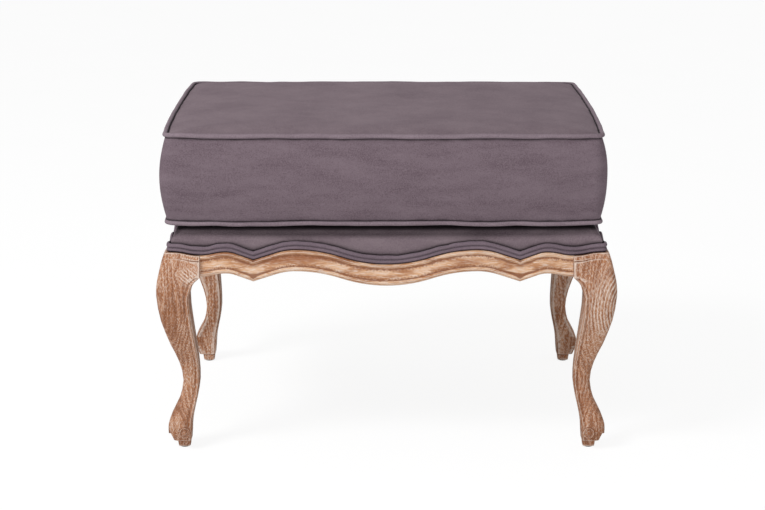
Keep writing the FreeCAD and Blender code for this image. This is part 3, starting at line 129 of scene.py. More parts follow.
def pile_velvet(name, deep, pale, reach=SEAM_SHADE_REACH):
    material, tree, place = blank(name)
    smudge_scale = (1 / SMUDGE_LENGTH, 1 / SMUDGE_LENGTH, 1 / SMUDGE_HEIGHT)
    level = add(tree, "Mapping", {"Vector": place, "Scale": smudge_scale})
    smudges = add(tree, "TexNoise", {"Vector": level, "Scale": 1.0, "Detail": 1.0, "Roughness": 0.5})
    strokes = add(tree, "TexNoise", {"Vector": level, "Scale": 4.0, "Detail": 2.0, "Roughness": 0.6})
    pile = add(tree, "TexNoise", {"Vector": place, "Scale": 1 / PILE, "Detail": 2.0, "Roughness": 0.75})
    lay = add(tree, "Math", {0: smudges, 1: 0.35, 2: 0.2}, operation="MULTIPLY_ADD")
    lay = add(tree, "Math", {0: strokes, 1: 0.2, 2: lay}, operation="MULTIPLY_ADD")
    lay = add(tree, "Math", {0: pile, 1: 0.8, 2: lay}, operation="MULTIPLY_ADD")
    colour = add(tree, "ValToRGB", {"Fac": lay}, [(0.62, deep), (1.13, pale)])
    # Painted shade: the colour turns almost black where a point is closed in
    open_sky = add(tree, "AmbientOcclusion", {"Distance": reach}, samples=12).outputs["AO"]
    painted_shade_share = add(tree, "ValToRGB", {"Fac": open_sky}, [(0.36, 1.0), (0.60, 0.66), (0.86, 0.0)])
    brush_press_and_painted_shade = add(tree, "Mix", {"Factor": painted_shade_share, "A": colour, "B": linear(PAINTED_SEAM_SHADE)}, data_type="RGBA")
    relief = add(tree, "Bump", {"Height": pile, "Strength": 0.3, "Distance": 0.5 * MM})
    shader = add(tree, "BsdfPrincipled", {
        "Base Color": brush_press_and_painted_shade.outputs["Result"], "Normal": relief, "Roughness": 0.92, "IOR": 1.5,
        "Specular IOR Level": 0.15, "Sheen Weight": 0.22, "Sheen Roughness": 0.4,
        "Sheen Tint": linear(PILE_SHEEN)})
    add(tree, "OutputMaterial", {"Surface": shader})
    return material


velvet = pile_velvet("mauve_pile_velvet", "#62535b", "#827379")
# Painted highlight: the piping's velvet is painted paler than the rest
highlit_bias_pile = pile_velvet("bias_cut_pile_painted_highlight", "#6e5f67", "#8d7e86")
# Painted shade: the boxing's velvet is painted darker than the top
shaded_boxing_pile = pile_velvet("boxing_pile_painted_shade", "#5c4d55", "#7b6c74")
welt_velvet = pile_velvet("welt_pile_velvet", "#5f515a", "#7c6d76")
# Painted shade reaches further on the deck, under the cushion's overhang
deck_velvet = pile_velvet("deck_pile_velvet", "#64555d", "#84757b", OVERHANG_SHADE_REACH)
print("velvet smudges", SMUDGE_LENGTH / MM, "by", SMUDGE_HEIGHT / MM, "mm, pile drawn at", PILE / MM, "mm")

# %% [markdown]
# ## Limed oak
#
# Oak is ring porous: each year leaves a band of open pores. Liming brushes the surface and rubs
# white wax into it, and the wax stays in the pores, in the carver's grooves and along bruised
# edges. The recipe follows that: a reddish brown that drifts along the board, growth bands bent by
# noise, and short pale flecks laid along the grain, thicker where the brush pressed harder. Two
# values on the frame's meshes say where the carver cut: "hollow" marks the bottoms of grooves, and
# "arris" the sharp edges, which are rubbed pale. The bottoms of grooves, and every place that a
# node finds closed in, are painted dark brown: painted shade. Real pores are 0.3 mm wide, too fine
# to show, so they are drawn coarser, at 1 mm. The grain runs the way each board was cut, so each
# direction has a material. The front legs also show growth lines where the saw met the knee and
# the bracket, and such a figure is drawn as a patch of pale lines on the front face.

# %% Limed oak
BAND = 5.5 * MM
PORE_WIDTH, PORE_LENGTH = 1.0 * MM, 5.0 * MM
FIBRE, SHADE, SWIRL = 1.6 * MM, 26 * MM, 30 * MM
GROOVE_SHADE_REACH = 5 * MM
# The lime, and the dark brown of the painted shade in grooves
LIME, GROOVE_SHADE_COLOUR = "#e6d6c9", "#7c4a2d"
# How much shorter a figure's patch is from front to back, which keeps it on the front face
FRONT_ONLY = 3


def limed_oak(name, grain, deep, mid, pale, lime=0.8, heart=(0, 0, 0), figures=(),
              pore_length=PORE_LENGTH):
    """Oak whose grain runs along one axis: 0 for X, 1 for Y, 2 for Z. The heart is the middle of the
    log. A figure is a patch of limed growth lines: its middle, its reach, how strong it is, the
    lines' stretch, their scale and their shape."""
    material, tree, place = blank(name)
    squashed = [1.0, 1.0, 1.0]
    squashed[grain] = PORE_WIDTH / pore_length
    along = add(tree, "Mapping", {"Vector": place, "Scale": squashed})
    shade = add(tree, "TexNoise", {"Vector": along, "Scale": 1 / SHADE, "Detail": 3.0, "Roughness": 0.55})
    fibre = add(tree, "TexNoise", {"Vector": along, "Scale": 1 / FIBRE, "Detail": 3.0, "Roughness": 0.7})
    pores = add(tree, "TexNoise", {"Vector": along, "Scale": 1 / PORE_WIDTH, "Detail": 1.5, "Roughness": 0.6})
    bend = add(tree, "TexNoise", {"Vector": along, "Scale": 1 / SWIRL, "Detail": 2.0}).outputs["Color"]
    swirled = add(tree, "Mix", {"Factor": 0.035, "A": place, "B": bend}, data_type="VECTOR")
    board = add(tree, "Mapping", {"Vector": swirled.outputs["Result"], "Location": [-c for c in heart]})
    bands = add(tree, "TexWave", {"Vector": board, "Scale": WAVE / BAND, "Distortion": 2.0, "Detail": 2.0,
                                  "Detail Scale": 0.4}, wave_type="RINGS", rings_direction="XYZ"[grain])
    tone = add(tree, "Math", {0: bands.outputs["Fac"], 1: 0.22, 2: shade}, operation="MULTIPLY_ADD")
    tone = add(tree, "Math", {0: fibre, 1: 0.6, 2: tone}, operation="MULTIPLY_ADD")
    wood = add(tree, "ValToRGB", {"Fac": tone}, [(0.68, deep), (0.92, mid), (1.18, pale)])

    flecks = add(tree, "Math", {0: bands.outputs["Fac"], 1: 0.07, 2: pores}, operation="MULTIPLY_ADD")
    flecks = add(tree, "ValToRGB", {"Fac": flecks}, [(0.50, 0.0), (0.70, lime)])
    brush_press_and_painted_shade = add(tree, "ValToRGB", {"Fac": shade}, [(0.36, 0.35), (0.60, 1.0)])
    flecks = add(tree, "Math", {0: flecks, 1: brush_press_and_painted_shade}, operation="MULTIPLY")
    broken = add(tree, "ValToRGB", {"Fac": pores}, [(0.38, 0.25), (0.54, 1.0)])
    for middle, reach, strength, stretch, scale, shape in figures:
        near = add(tree, "Mapping", {"Vector": place, "Scale": stretch,
                                     "Location": [-c * k for c, k in zip(middle, stretch)]})
        off = add(tree, "Mapping", {"Vector": place, "Scale": (1, FRONT_ONLY, 1),
                                    "Location": (-middle[0], -middle[1] * FRONT_ONLY, -middle[2])})
        away = add(tree, "VectorMath", {0: off}, operation="LENGTH").outputs["Value"]
        inside = add(tree, "Math", {0: away, 1: 0.5 / reach}, operation="MULTIPLY")
        inside = add(tree, "ValToRGB", {"Fac": inside}, [(0.32, strength), (0.50, 0.0)])
        lines = add(tree, "TexWave", {"Vector": near, "Scale": scale, "Distortion": 1.6, "Detail": 1.0,
                                      "Detail Scale": 0.5}, **shape)
        lines = add(tree, "ValToRGB", {"Fac": lines.outputs["Fac"]}, [(0.50, 0.0), (0.80, 1.0)])
        lines = add(tree, "Math", {0: lines, 1: inside}, operation="MULTIPLY")
        lines = add(tree, "Math", {0: lines, 1: broken}, operation="MULTIPLY")
        flecks = add(tree, "Math", {0: flecks, 1: lines}, operation="MAXIMUM")
    limed = add(tree, "Mix", {"Factor": flecks, "A": wood, "B": linear(LIME)}, data_type="RGBA")

    arris = add(tree, "Attribute", attribute_name="arris").outputs["Fac"]
    edge = add(tree, "ValToRGB", {"Fac": arris}, [(0.16, 0.0), (0.34, 0.6)])
    rubbed = add(tree, "Mix", {"Factor": edge, "A": limed.outputs["Result"], "B": linear(LIME)},
                 data_type="RGBA").outputs["Result"]
    # Painted shade: the bottoms of grooves and closed-in places are painted dark brown
    hollow = add(tree, "Attribute", attribute_name="hollow").outputs["Fac"]
    hollow = add(tree, "ValToRGB", {"Fac": hollow}, [(0.14, 0.0), (0.32, 0.85)])
    open_sky = add(tree, "AmbientOcclusion", {"Distance": GROOVE_SHADE_REACH}, samples=10).outputs["AO"]
    painted_shade_share = add(tree, "ValToRGB", {"Fac": open_sky}, [(0.25, 0.9), (0.70, 0.0)])
    groove = add(tree, "Math", {0: hollow, 1: painted_shade_share}, operation="MAXIMUM")
    groove_shaded = add(tree, "Mix", {"Factor": groove, "A": rubbed, "B": linear(GROOVE_SHADE_COLOUR)},
                  data_type="RGBA").outputs["Result"]

    height = add(tree, "Math", {0: pores, 1: fibre}, operation="SUBTRACT")
    relief = add(tree, "Bump", {"Height": height, "Strength": 0.35, "Distance": 0.4 * MM}, invert=True)
    shader = add(tree, "BsdfPrincipled", {"Base Color": groove_shaded, "Normal": relief, "Roughness": 0.6,
                                          "IOR": 1.5, "Specular IOR Level": 0.3})
    add(tree, "OutputMaterial", {"Surface": shader})
    return material


RAIL_BROWNS, RAIL_PORE = ("#9a6340", "#bd8a63", "#d6aa86"), 13 * MM
LEG_BROWNS = "#84502f", "#9c6440", "#b07a56"
oak_along_x = limed_oak("limed_oak_front_rail", 0, *RAIL_BROWNS, heart=(0, 0.09, 0.22), pore_length=RAIL_PORE)
oak_along_y = limed_oak("limed_oak_side_rail", 1, *RAIL_BROWNS, heart=(0.09, 0, 0.22), pore_length=RAIL_PORE)
# The left front bracket shows slanting growth lines, the right knee arcs. Across a front face the
# node's diagonal bands lie the root of two times as far apart as its straight ones
LEG_FIGURES = (
    ((-0.299, -0.262, 0.283), 20 * MM, 0.85, (1, 1, 1), WAVE * 2 ** 0.5 / (4.6 * MM),
     {"wave_type": "BANDS", "bands_direction": "DIAGONAL"}),
    ((0.364, -0.262, 0.226), 78 * MM, 0.85, (1, 1, 0.60), WAVE / (4.7 * MM),
     {"wave_type": "RINGS", "rings_direction": "Y"}),
)
oak_upright = limed_oak("limed_oak_leg", 2, *LEG_BROWNS, lime=0.72, heart=(0.11, -0.06, 0),
                        figures=LEG_FIGURES)
print("oak growth bands", BAND / MM, "mm, pores drawn", PORE_WIDTH / MM, "by", PORE_LENGTH / MM, "mm")

# %% [markdown]
# ## Hidden stuffs
#
# The things that the velvet hides still show from below or when the cushion is lifted, and each has
# its own look: planed beech blocks, jute webbing and hessian, pale cut foam, fluffy polyester fibre,
# black spun-bonded cloth, wool felt, the zip's tape and nylon coil, sewing thread, and plated metal.
# Wood, woven cloth, fibrous stuff and metal are four recipes, and each stuff is one with its own
# colours and its own grain.

# %% Woven, cut and spun materials
def woven(name, pale, deep, pitch, roughness=0.95, depth=0.4):
    """A plain weave: two sets of ridges at right angles, a thread's pitch apart."""
    material, tree, place = blank(name)
    threads = {"Vector": place, "Scale": WAVE / pitch, "Distortion": 0.6, "Detail": 2.0}
    warp, weft = [add(tree, "TexWave", threads, wave_type="BANDS", bands_direction=axis).outputs["Fac"]
                  for axis in "XY"]
    weave = add(tree, "Math", {0: warp, 1: weft}, operation="MULTIPLY")
    slub = add(tree, "TexNoise", {"Vector": place, "Scale": 1 / (8 * MM), "Detail": 3.0})
    tone = add(tree, "Math", {0: slub, 1: 0.6, 2: weave}, operation="MULTIPLY_ADD")
    colour = add(tree, "ValToRGB", {"Fac": tone}, [(0.2, deep), (0.9, pale)])
    relief = add(tree, "Bump", {"Height": weave, "Strength": depth, "Distance": 0.5 * MM})
    shader = add(tree, "BsdfPrincipled", {"Base Color": colour, "Normal": relief, "Roughness": roughness,
                                          "IOR": 1.5, "Specular IOR Level": 0.2})
    add(tree, "OutputMaterial", {"Surface": shader})
    return material


def fibrous(name, pale, deep, grain, roughness=0.95, depth=0.4):
    """Foam, felt or fibre: an even stuff that noise of one grain size breaks up."""
    material, tree, place = blank(name)
    cells = add(tree, "TexNoise", {"Vector": place, "Scale": 1 / grain, "Detail": 4.0, "Roughness": 0.7})
    colour = add(tree, "ValToRGB", {"Fac": cells}, [(0.35, deep), (0.65, pale)])
    relief = add(tree, "Bump", {"Height": cells, "Strength": depth, "Distance": grain / 3})
    shader = add(tree, "BsdfPrincipled", {"Base Color": colour, "Normal": relief, "Roughness": roughness,
                                          "IOR": 1.5})
    add(tree, "OutputMaterial", {"Surface": shader})
    return material


jute_webbing = woven("jute_webbing", "#c1a273", "#7f6139", 2.2 * MM)
hessian = woven("woven_hessian", "#c9ab7c", "#86683f", 1.8 * MM)
zip_tape_weave = woven("polyester_zip_tape", "#6b6067", "#453d43", 1.2 * MM)
cut_foam = fibrous("cut_polyurethane_foam", "#efe6c4", "#dccfa2", 1.5 * MM)
fibre_wrap = fibrous("polyester_fibre_wrap", "#f4f3ef", "#dcdbd7", 5 * MM, depth=0.7)
spun_cloth = fibrous("spun_bonded_cloth", "#23221f", "#131312", 1.2 * MM)
wool_felt = fibrous("wool_felt", "#6e5a48", "#4c3d30", 1.0 * MM)
sewing_thread = fibrous("polyester_sewing_thread", "#a2959c", "#7c7078", 0.6 * MM, roughness=0.6, depth=0.2)
nylon_coil = fibrous("nylon_zip_coil", "#5d545a", "#4a4247", 0.8 * MM, roughness=0.45, depth=0.1)
planed_beech = limed_oak("planed_beech_block", 0, "#b98d5f", "#cfa776", "#dcb98c", lime=0.1,
                         heart=(0, 0.1, 0.2))


def plated_steel(name, pale, deep, roughness):
    """Steel with a thin plated coat: a metal whose gloss varies a little from handling."""
    material, tree, place = blank(name)
    smudge = add(tree, "TexNoise", {"Vector": place, "Scale": 1 / (4 * MM), "Detail": 3.0})
    colour = add(tree, "ValToRGB", {"Fac": smudge}, [(0.3, deep), (0.7, pale)])
    gloss = add(tree, "ValToRGB", {"Fac": smudge}, [(0.3, roughness * 0.8), (0.7, roughness * 1.25)])
    shader = add(tree, "BsdfPrincipled", {"Base Color": colour, "Roughness": gloss, "Metallic": 1.0})
    add(tree, "OutputMaterial", {"Surface": shader})
    return material


zinc_plate = plated_steel("zinc_plated_steel", "#c9c6ba", "#a5a297", 0.35)
zip_metal = plated_steel("gunmetal_plated_zinc", "#8f8b8c", "#6d696b", 0.28)
print(len(bpy.data.materials), "materials")

# %% [markdown]
# ## Mesh helpers
#
# Most soft pieces here are sheets that follow a closed line: the cushion's outline or the deck's.
# A grid of points, row above row, makes such a sheet, and a Solidify modifier gives the cloth its
# thickness. Stitches, coils and straps are many small grids in one mesh.

# %% Mesh helpers
def new_piece(name, points, faces, material):
    """A smoothly shaded object from points and faces."""
    mesh = bpy.data.meshes.new(name)
    mesh.from_pydata(points, [], faces)
    mesh.polygons.foreach_set("use_smooth", [True] * len(mesh.polygons))
    mesh.materials.append(material)
    piece = bpy.data.objects.new(name, mesh)
    bpy.context.collection.objects.link(piece)
    return piece


def grid_faces(rows, closed, base=0):
    """Faces that join each row of points to the next, and each row to its own start where closed."""
    count = len(rows[0])
    faces = []
    for r in range(base, base + (len(rows) - 1) * count, count):
        for c in range(count if closed else count - 1):
            d = (c + 1) % count
            faces.append((r + c, r + d, r + count + d, r + count + c))
    return faces


def thicken(piece, thickness):
    """Cloth grows inwards from the sheet that was drawn."""
    solid = piece.modifiers.new("cloth", "SOLIDIFY")
    solid.thickness = thickness
    solid.offset = -1


def grid_piece(name, rows, material, closed=True, thickness=0.0, cap_last=False):
    """A piece from one grid, with its last row filled where it is capped."""
    points = [tuple(p) for row in rows for p in row]
    faces = grid_faces(rows, closed)
    if cap_last:
        faces.append(tuple(range(len(points) - len(rows[0]), len(points))))
    piece = new_piece(name, points, faces, material)
    if thickness:
        thicken(piece, thickness)
    return piece


def join_grids(name, grids, material):
    """One piece from several closed grids."""
    points, faces = [], []
    for rows in grids:
        faces += grid_faces(rows, True, len(points))
        points += [tuple(p) for row in rows for p in row]
    return new_piece(name, points, faces, material)


def weld(piece):
    """Join the points that lie on each other, and turn every face outwards."""
    mesh = bmesh.new()
    mesh.from_mesh(piece.data)
    bmesh.ops.remove_doubles(mesh, verts=mesh.verts, dist=1e-6)
    bmesh.ops.recalc_face_normals(mesh, faces=mesh.faces)
    mesh.to_mesh(piece.data)
    mesh.free()


def dress(piece, body, slot, *replaced, fill=None):
    """A piece rides on its body and stands for the CAD nodes named. Its slot is not used. The fill,
    how full a padded piece is from 0, slack, to 1, tight, is not used either."""
    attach(piece, body)
    if replaced:
        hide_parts(*replaced)
    print(piece.name, "has", len(piece.data.vertices), "points")
    return piece


def ripple(where, size, seed):
    """Smooth noise from -1 to 1 whose swells are about a given size apart."""
    p = Vector((where[0] / size + seed, where[1] / size - seed, where[2] / size + 2 * seed))
    return noise.noise(p) * 2.0


# %% [markdown]
# ## The carved frame
#
# The CAD's legs and rails are right as they are, so they stay. Their surfaces come apart along every
# face, which would show each flat. One small node modifier joins the points again and writes how the
# surface turns at each: "hollow" in the bottoms of grooves and "arris" on sharp edges, which the oak
# reads. A fine bevel then rounds the sharp edges, as sanding does, and a second node modifier shades
# smoothly across the shallow ones. A rail is carved more shallowly than a leg, so less of a turn
# counts as a groove there.

# %% Soften the carving
def node_group(name):
    """An empty geometry node group with its way in and its way out."""
    group = bpy.data.node_groups.new(name, "GeometryNodeTree")
    group.interface.new_socket("Geometry", in_out="INPUT", socket_type="NodeSocketGeometry")
    group.interface.new_socket("Geometry", in_out="OUTPUT", socket_type="NodeSocketGeometry")
    return group, group.nodes.new("NodeGroupInput"), group.nodes.new("NodeGroupOutput")


ARRIS_TURN = 38


def carving_finder(least):
    """Weld the mesh, halve its edges and mark the points where it turns inwards by at least so many
    degrees, or sharply outwards."""
    group, start, end = node_group("find_carving")
    joined = add(group, "GeometryNodeMergeByDistance", {"Geometry": start, "Distance": 0.02 * MM})
    shape = add(group, "GeometryNodeSubdivideMesh", {"Mesh": joined})
    turn = add(group, "GeometryNodeInputMeshEdgeAngle").outputs["Signed Angle"]
    for name, operation, degrees in (("hollow", "LESS_THAN", -least), ("arris", "GREATER_THAN", ARRIS_TURN)):
        turned = add(group, "FunctionNodeCompare", {"A": turn, "B": math.radians(degrees)},
                     data_type="FLOAT", operation=operation)
        # On a point, this is the share of its edges that turn so
        share = add(group, "GeometryNodeFieldOnDomain", {0: turned}, domain="EDGE")
        shape = add(group, "GeometryNodeStoreNamedAttribute",
                    {"Geometry": shape, "Name": name, "Value": share}, domain="POINT")
    group.links.new(shape.outputs[0], end.inputs[0])
    return group


def smoothing(angle):
    """Shade faces smoothly, but keep edges steeper than an angle sharp."""
    group, start, end = node_group("soften_carving")
    faces = add(group, "GeometryNodeSetShadeSmooth", {"Geometry": start})
    turn = add(group, "GeometryNodeInputMeshEdgeAngle").outputs["Unsigned Angle"]
    steep = add(group, "FunctionNodeCompare", {"A": turn, "B": math.radians(angle)},
                data_type="FLOAT", operation="GREATER_THAN")
    edges = add(group, "GeometryNodeSetShadeSmooth",
                {"Geometry": faces, "Selection": steep, "Shade Smooth": False}, domain="EDGE")
    group.links.new(edges.outputs[0], end.inputs[0])
    return group


shallow_carving, deep_carving, soften_carving = carving_finder(11), carving_finder(15.5), smoothing(24)


BEVEL_TURN = 35


def keep(node, material, bevel=0.5 * MM, carving=deep_carving):
    """A CAD node stays and gets its material, a slight round on its edges and its shading."""
    piece = nodes[node]
    for slot in piece.material_slots:
        slot.material = material
    if not piece.material_slots:
        piece.data.materials.append(material)
    piece.modifiers.new("carving", "NODES").node_group = carving
    if bevel:
        rounding = piece.modifiers.new("sanded_edges", "BEVEL")
        rounding.width = bevel
        rounding.segments = 2
        rounding.limit_method = "ANGLE"
        rounding.angle_limit = math.radians(BEVEL_TURN)
        rounding.use_clamp_overlap = True
    piece.modifiers.new("shading", "NODES").node_group = soften_carving


corners = ("front_left", "front_right", "back_left", "back_right")
for corner in corners:
    keep(f"{corner}_leg", oak_upright)
    keep(f"{corner}_corner_block", planed_beech, 0.8 * MM)
for name in ("front_rail", "back_rail"):
    keep(name, oak_along_x, carving=shallow_carving)
for name in ("left_rail", "right_rail"):
    keep(name, oak_along_y, carving=shallow_carving)
keep("corner_block_screws", zinc_plate, 0.3 * MM)
keep("webbing_staples", zinc_plate, 0)
for name in ("zip_stops", "zip_slider", "zip_pull"):
    keep(name, zip_metal, 0.25 * MM)

# %% [markdown]
# ## The cushion's outline
#
# The loose cushion is a box cushion: two panels and a boxing strip, with piping in both seams. Its
# back is straight, its front and sides bow out a little, and its corners are round. A loose cushion
# never sits quite true: this one has spread about a centimetre further on its left. One function
# gives that outline at any inset, so that every piece of the cushion fits the next.

# %% Cushion outline
piping_low, piping_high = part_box("cushion_piping_top")
boxing_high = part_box("cushion_boxing")[1]
PIPING_RADIUS = 3.6 * MM
HALF_DEPTH = piping_high[1] + 0.3 * MM
HALF_WIDTH = piping_high[0] + 0.3 * MM
CORNER = 15 * MM
# The radii, in metres, of the arcs that the sides and the front bow out along
SIDE_BOW, FRONT_BOW = 6.2, 7.8
CORNER_AT = HALF_WIDTH - CORNER - HALF_DEPTH ** 2 / (2 * SIDE_BOW) * 0.88
TOP_SEAM = (piping_low[2] + piping_high[2]) / 2
BOTTOM_SEAM = sum(c[2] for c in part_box("cushion_piping_bottom")) / 2
BULGE = boxing_high[0] - HALF_WIDTH
ZIP_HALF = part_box("zip_panel_upper")[1][0]
SPREAD = 10 * MM
BACK_STEPS, CORNER_STEPS, SIDE_STEPS, FRONT_STEPS = 80, 12, 120, 160


@functools.cache
def cushion_outline(inset, corner=None):
    """Points of the outline from the middle of the back, with the way out from each. All outlines have
    the same number of points."""
    corner = CORNER - inset if corner is None else corner
    corner = max(corner, 3 * MM)
    half_depth, front, side = HALF_DEPTH - inset, FRONT_BOW - inset, SIDE_BOW - inset
    across = CORNER_AT + CORNER - inset - corner
    front_y = front - half_depth - math.sqrt((front - corner) ** 2 - across ** 2)
    side_centre = math.sqrt((side - corner) ** 2 - front_y ** 2) - across
    back_y = half_depth - corner
    back_x = math.sqrt((side - corner) ** 2 - back_y ** 2) - side_centre
    lean_front = math.asin(across / (front - corner))
    lean_side = math.asin(front_y / (side - corner))
    lean_back = math.asin(back_y / (side - corner))
    turn = math.pi / 2
    arcs = [
        (-back_x, back_y, corner, turn, 2 * turn - lean_back, CORNER_STEPS),
        (side_centre, 0, side, 2 * turn - lean_back, 2 * turn - lean_side, SIDE_STEPS),
        (-across, front_y, corner, 2 * turn - lean_side, 3 * turn - lean_front, CORNER_STEPS),
        (0, front - half_depth, front, 3 * turn - lean_front, 3 * turn + lean_front, FRONT_STEPS),
        (across, front_y, corner, 3 * turn + lean_front, 4 * turn + lean_side, CORNER_STEPS),
        (-side_centre, 0, side, lean_side, lean_back, SIDE_STEPS),
        (back_x, back_y, corner, lean_back, turn, CORNER_STEPS),
    ]
    points, ways = [], []
    for x in np.linspace(0, -back_x, BACK_STEPS, endpoint=False):
        points.append((x, half_depth))
        ways.append((0.0, 1.0))
    for x, y, radius, first, last, steps in arcs:
        for angle in np.linspace(first, last, steps, endpoint=False):
            points.append((x + radius * math.cos(angle), y + radius * math.sin(angle)))
            ways.append((math.cos(angle), math.sin(angle)))
    for x in np.linspace(back_x, 0, BACK_STEPS, endpoint=False):
        points.append((x, half_depth))
        ways.append((0.0, 1.0))
    points = np.array(points)
    points[:, 0] -= SPREAD * np.clip(-points[:, 0] / HALF_WIDTH, 0, 1) ** 3
    return points, np.array(ways)


seam_line, seam_ways = cushion_outline(PIPING_RADIUS)
print("cushion outline:", len(seam_line), "points,", round(2 * HALF_WIDTH / MM), "by",
      round(2 * HALF_DEPTH / MM), "mm")


def drift(x, y, seed, most):
    """How far a sewn seam wanders up or down at a place in plan."""
    return most * (0.65 * ripple((x, y, 0), 130 * MM, seed) + 0.35 * ripple((x, y, 0), 45 * MM, seed + 5))


# Each seam's own seed, and how far it wanders
TOP_SEED, BOTTOM_SEED = 3.1, 7.7
TOP_DRIFT, BOTTOM_DRIFT = 1.3 * MM, 2.0 * MM


def seam_heights(x, y):
    """The heights of the bottom seam and of the top seam at a place in plan."""
    low = BOTTOM_SEAM + drift(x, y, BOTTOM_SEED, BOTTOM_DRIFT)
    return low, TOP_SEAM + drift(x, y, TOP_SEED, TOP_DRIFT)


# %% [markdown]
# ## Piping
#
# Piping is cord in a bias-cut strip, sewn into the seam. It is a tube that follows the outline. Its
# thickness changes a little and it wanders with the seam, which is what makes it read as sewn cloth
# and not as a moulded ring.

# %% Piping
ROUND_STEPS = 14


def piping(name, height, seed, most, node):
    rows = []
    for step in range(ROUND_STEPS):
        angle = math.tau * step / ROUND_STEPS
        row = []
        for (x, y), (out_x, out_y) in zip(seam_line, seam_ways):
            radius = PIPING_RADIUS * (0.97 + 0.05 * ripple((x, y, 0), 22 * MM, seed + 9))
            away = radius * math.cos(angle)
            rise = radius * math.sin(angle) + drift(x, y, seed, most)
            row.append((x + out_x * away, y + out_y * away, height + rise))
        rows.append(row)
    rows.append(rows[0])
    piece = grid_piece(name, rows, highlit_bias_pile)
    weld(piece)
    dress(piece, "cushion", "velvet", node, fill=1.0)


piping("top_piping", TOP_SEAM, TOP_SEED, TOP_DRIFT, "cushion_piping_top")
piping("bottom_piping", BOTTOM_SEAM, BOTTOM_SEED, BOTTOM_DRIFT, "cushion_piping_bottom")

# %% [markdown]
# ## Boxing
#
# The boxing is the strip between the two pipings. The filling pushes it out, so it leaves each
# piping inwards of the cord's middle and swells to a full, nearly flat side. Where it is gathered
# into the seams it has small puckers that die away within a couple of centimetres.

# %% Boxing
BOXING_ROWS = 30
CLOTH = 1.0 * MM
SEAM_DEPTH = 1.5 * PIPING_RADIUS
PUCKER, PUCKER_REACH, PUCKER_WIDTH = 0.7 * MM, 11 * MM, 15 * MM


def swell(share):
    """How full the boxing is: 0 in either seam, 1 halfway up."""
    return math.sin(math.pi * share) ** 0.8


def pucker(x, y, z, low, high):
    """How far gathers push the cloth out between a low seam and a high one."""
    near = min(z - low, high - z)
    return PUCKER * math.exp(-near / PUCKER_REACH) * ripple((x, y, z / 6), PUCKER_WIDTH, 1.7)


def boxing_point(i, share):
    """A point of the boxing: i along the outline, share from the bottom seam to the top one."""
    inset = SEAM_DEPTH - (SEAM_DEPTH + BULGE) * swell(share)
    line, ways = cushion_outline(inset)
    x, y = line[i]
    low, high = seam_heights(x, y)
    z = low + (high - low) * share
    soft = 0.9 * MM * ripple((x, y, z), 75 * MM, 4.2) * swell(share)
    out = pucker(x, y, z, low, high) + soft - 0.3 * MM
    return x + ways[i][0] * out, y + ways[i][1] * out, z


at_back = [i for i, (x, y) in enumerate(seam_line) if y > HALF_DEPTH - 9 * MM]
back_right = max(i for i in at_back if seam_line[i][0] >= ZIP_HALF)
back_left = min(i for i in at_back if seam_line[i][0] <= -ZIP_HALF)
shares = [0.5 - 0.5 * math.cos(math.pi * r / BOXING_ROWS) for r in range(BOXING_ROWS + 1)]
rows = []
for share in shares:
    row = [boxing_point(i, share) for i in range(back_left, back_right + 1)]
    # Both ends are sewn to the zip's two strips, so they stop just short of them
    end = ZIP_HALF + 0.2 * MM
    left_end, right_end = (-end, *row[0][1:]), (end, *row[-1][1:])
    rows.append([left_end] + row + [right_end])
boxing = grid_piece("boxing_strip", rows, shaded_boxing_pile, closed=False, thickness=CLOTH)
dress(boxing, "cushion", "velvet", "cushion_boxing", fill=0.9)

# %% [markdown]
# ## Top and bottom panels
#
# The top is crowned: it rises quickly from the piping and is almost level in the middle. Its rings
# are the outline at smaller and smaller shares of its size. The bottom panel is flat, because the
# cushion rests on it.

# %% Panels
PANEL_INSET = 2 * PIPING_RADIUS + 0.1 * MM
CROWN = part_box("cushion_top_panel")[1][2] - TOP_SEAM
# Close together near the seam, where the panel curves most
PANEL_RINGS = (1, 0.992, 0.984, 0.97, 0.955, 0.935, 0.91, 0.88, 0.845, 0.8, 0.75, 0.69, 0.62, 0.54, 0.45,
               0.35, 0.25, 0.15, 0.06)


def panel(name, seam, crown, seed, most, node, drop):
    line, _ = cushion_outline(PANEL_INSET)
    rows = []
    for share in PANEL_RINGS:
        row = []
        for x, y in line:
            rise = crown * (1 - share ** 9) - 0.8 * MM * math.exp(-(1 - share) * 160) * bool(crown)
            seam_share = math.exp(-(1 - share) * 9)
            z = seam + drop + rise + drift(x, y, seed, most) * seam_share
            x, y = x * share, y * share
            gather = 0.5 * MM * math.exp(-(1 - share) / 0.03) * ripple((x, y, 0), 17 * MM, seed + 3)
            soft = 0.9 * MM * ripple((x, y, 0), 95 * MM, seed + 1) * (1 - share ** 6)
            row.append((x, y, z + (gather + soft) * bool(crown)))
        rows.append(row)
    piece = grid_piece(name, rows, velvet, thickness=CLOTH, cap_last=True)
    dress(piece, "cushion", "velvet", node, fill=0.8)


panel("top_panel", TOP_SEAM, CROWN, TOP_SEED, TOP_DRIFT, "cushion_top_panel", 0.6 * MM)
panel("bottom_panel", BOTTOM_SEAM, 0.0, BOTTOM_SEED, 0.0, "cushion_bottom_panel", -2.2 * MM)

# %% [markdown]
# ## The zip
#
# The back of the boxing is two strips that meet over a zip. Each strip's edge is turned under and
# stitched down, and beyond the zip the two edges are sewn shut. Between them run two rows of nylon
# coil, each a flattened spring of wire, on two woven tapes.

# %% Zip panels
zip_middle = (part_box("zip_panel_upper")[0][2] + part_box("zip_panel_lower")[1][2]) / 2
zip_gap = (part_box("zip_panel_upper")[0][2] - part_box("zip_panel_lower")[1][2]) / 2
MIDDLE_SHARE = (zip_middle - BOTTOM_SEAM) / (TOP_SEAM - BOTTOM_SEAM)
TAPE_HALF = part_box("zip_tapes")[1][0]
# How far past the tapes the slit closes, and over what length
SLIT_PAST, SLIT_CLOSING = 8 * MM, 6 * MM
ZIP_COLUMNS, ZIP_ROWS = 130, 15


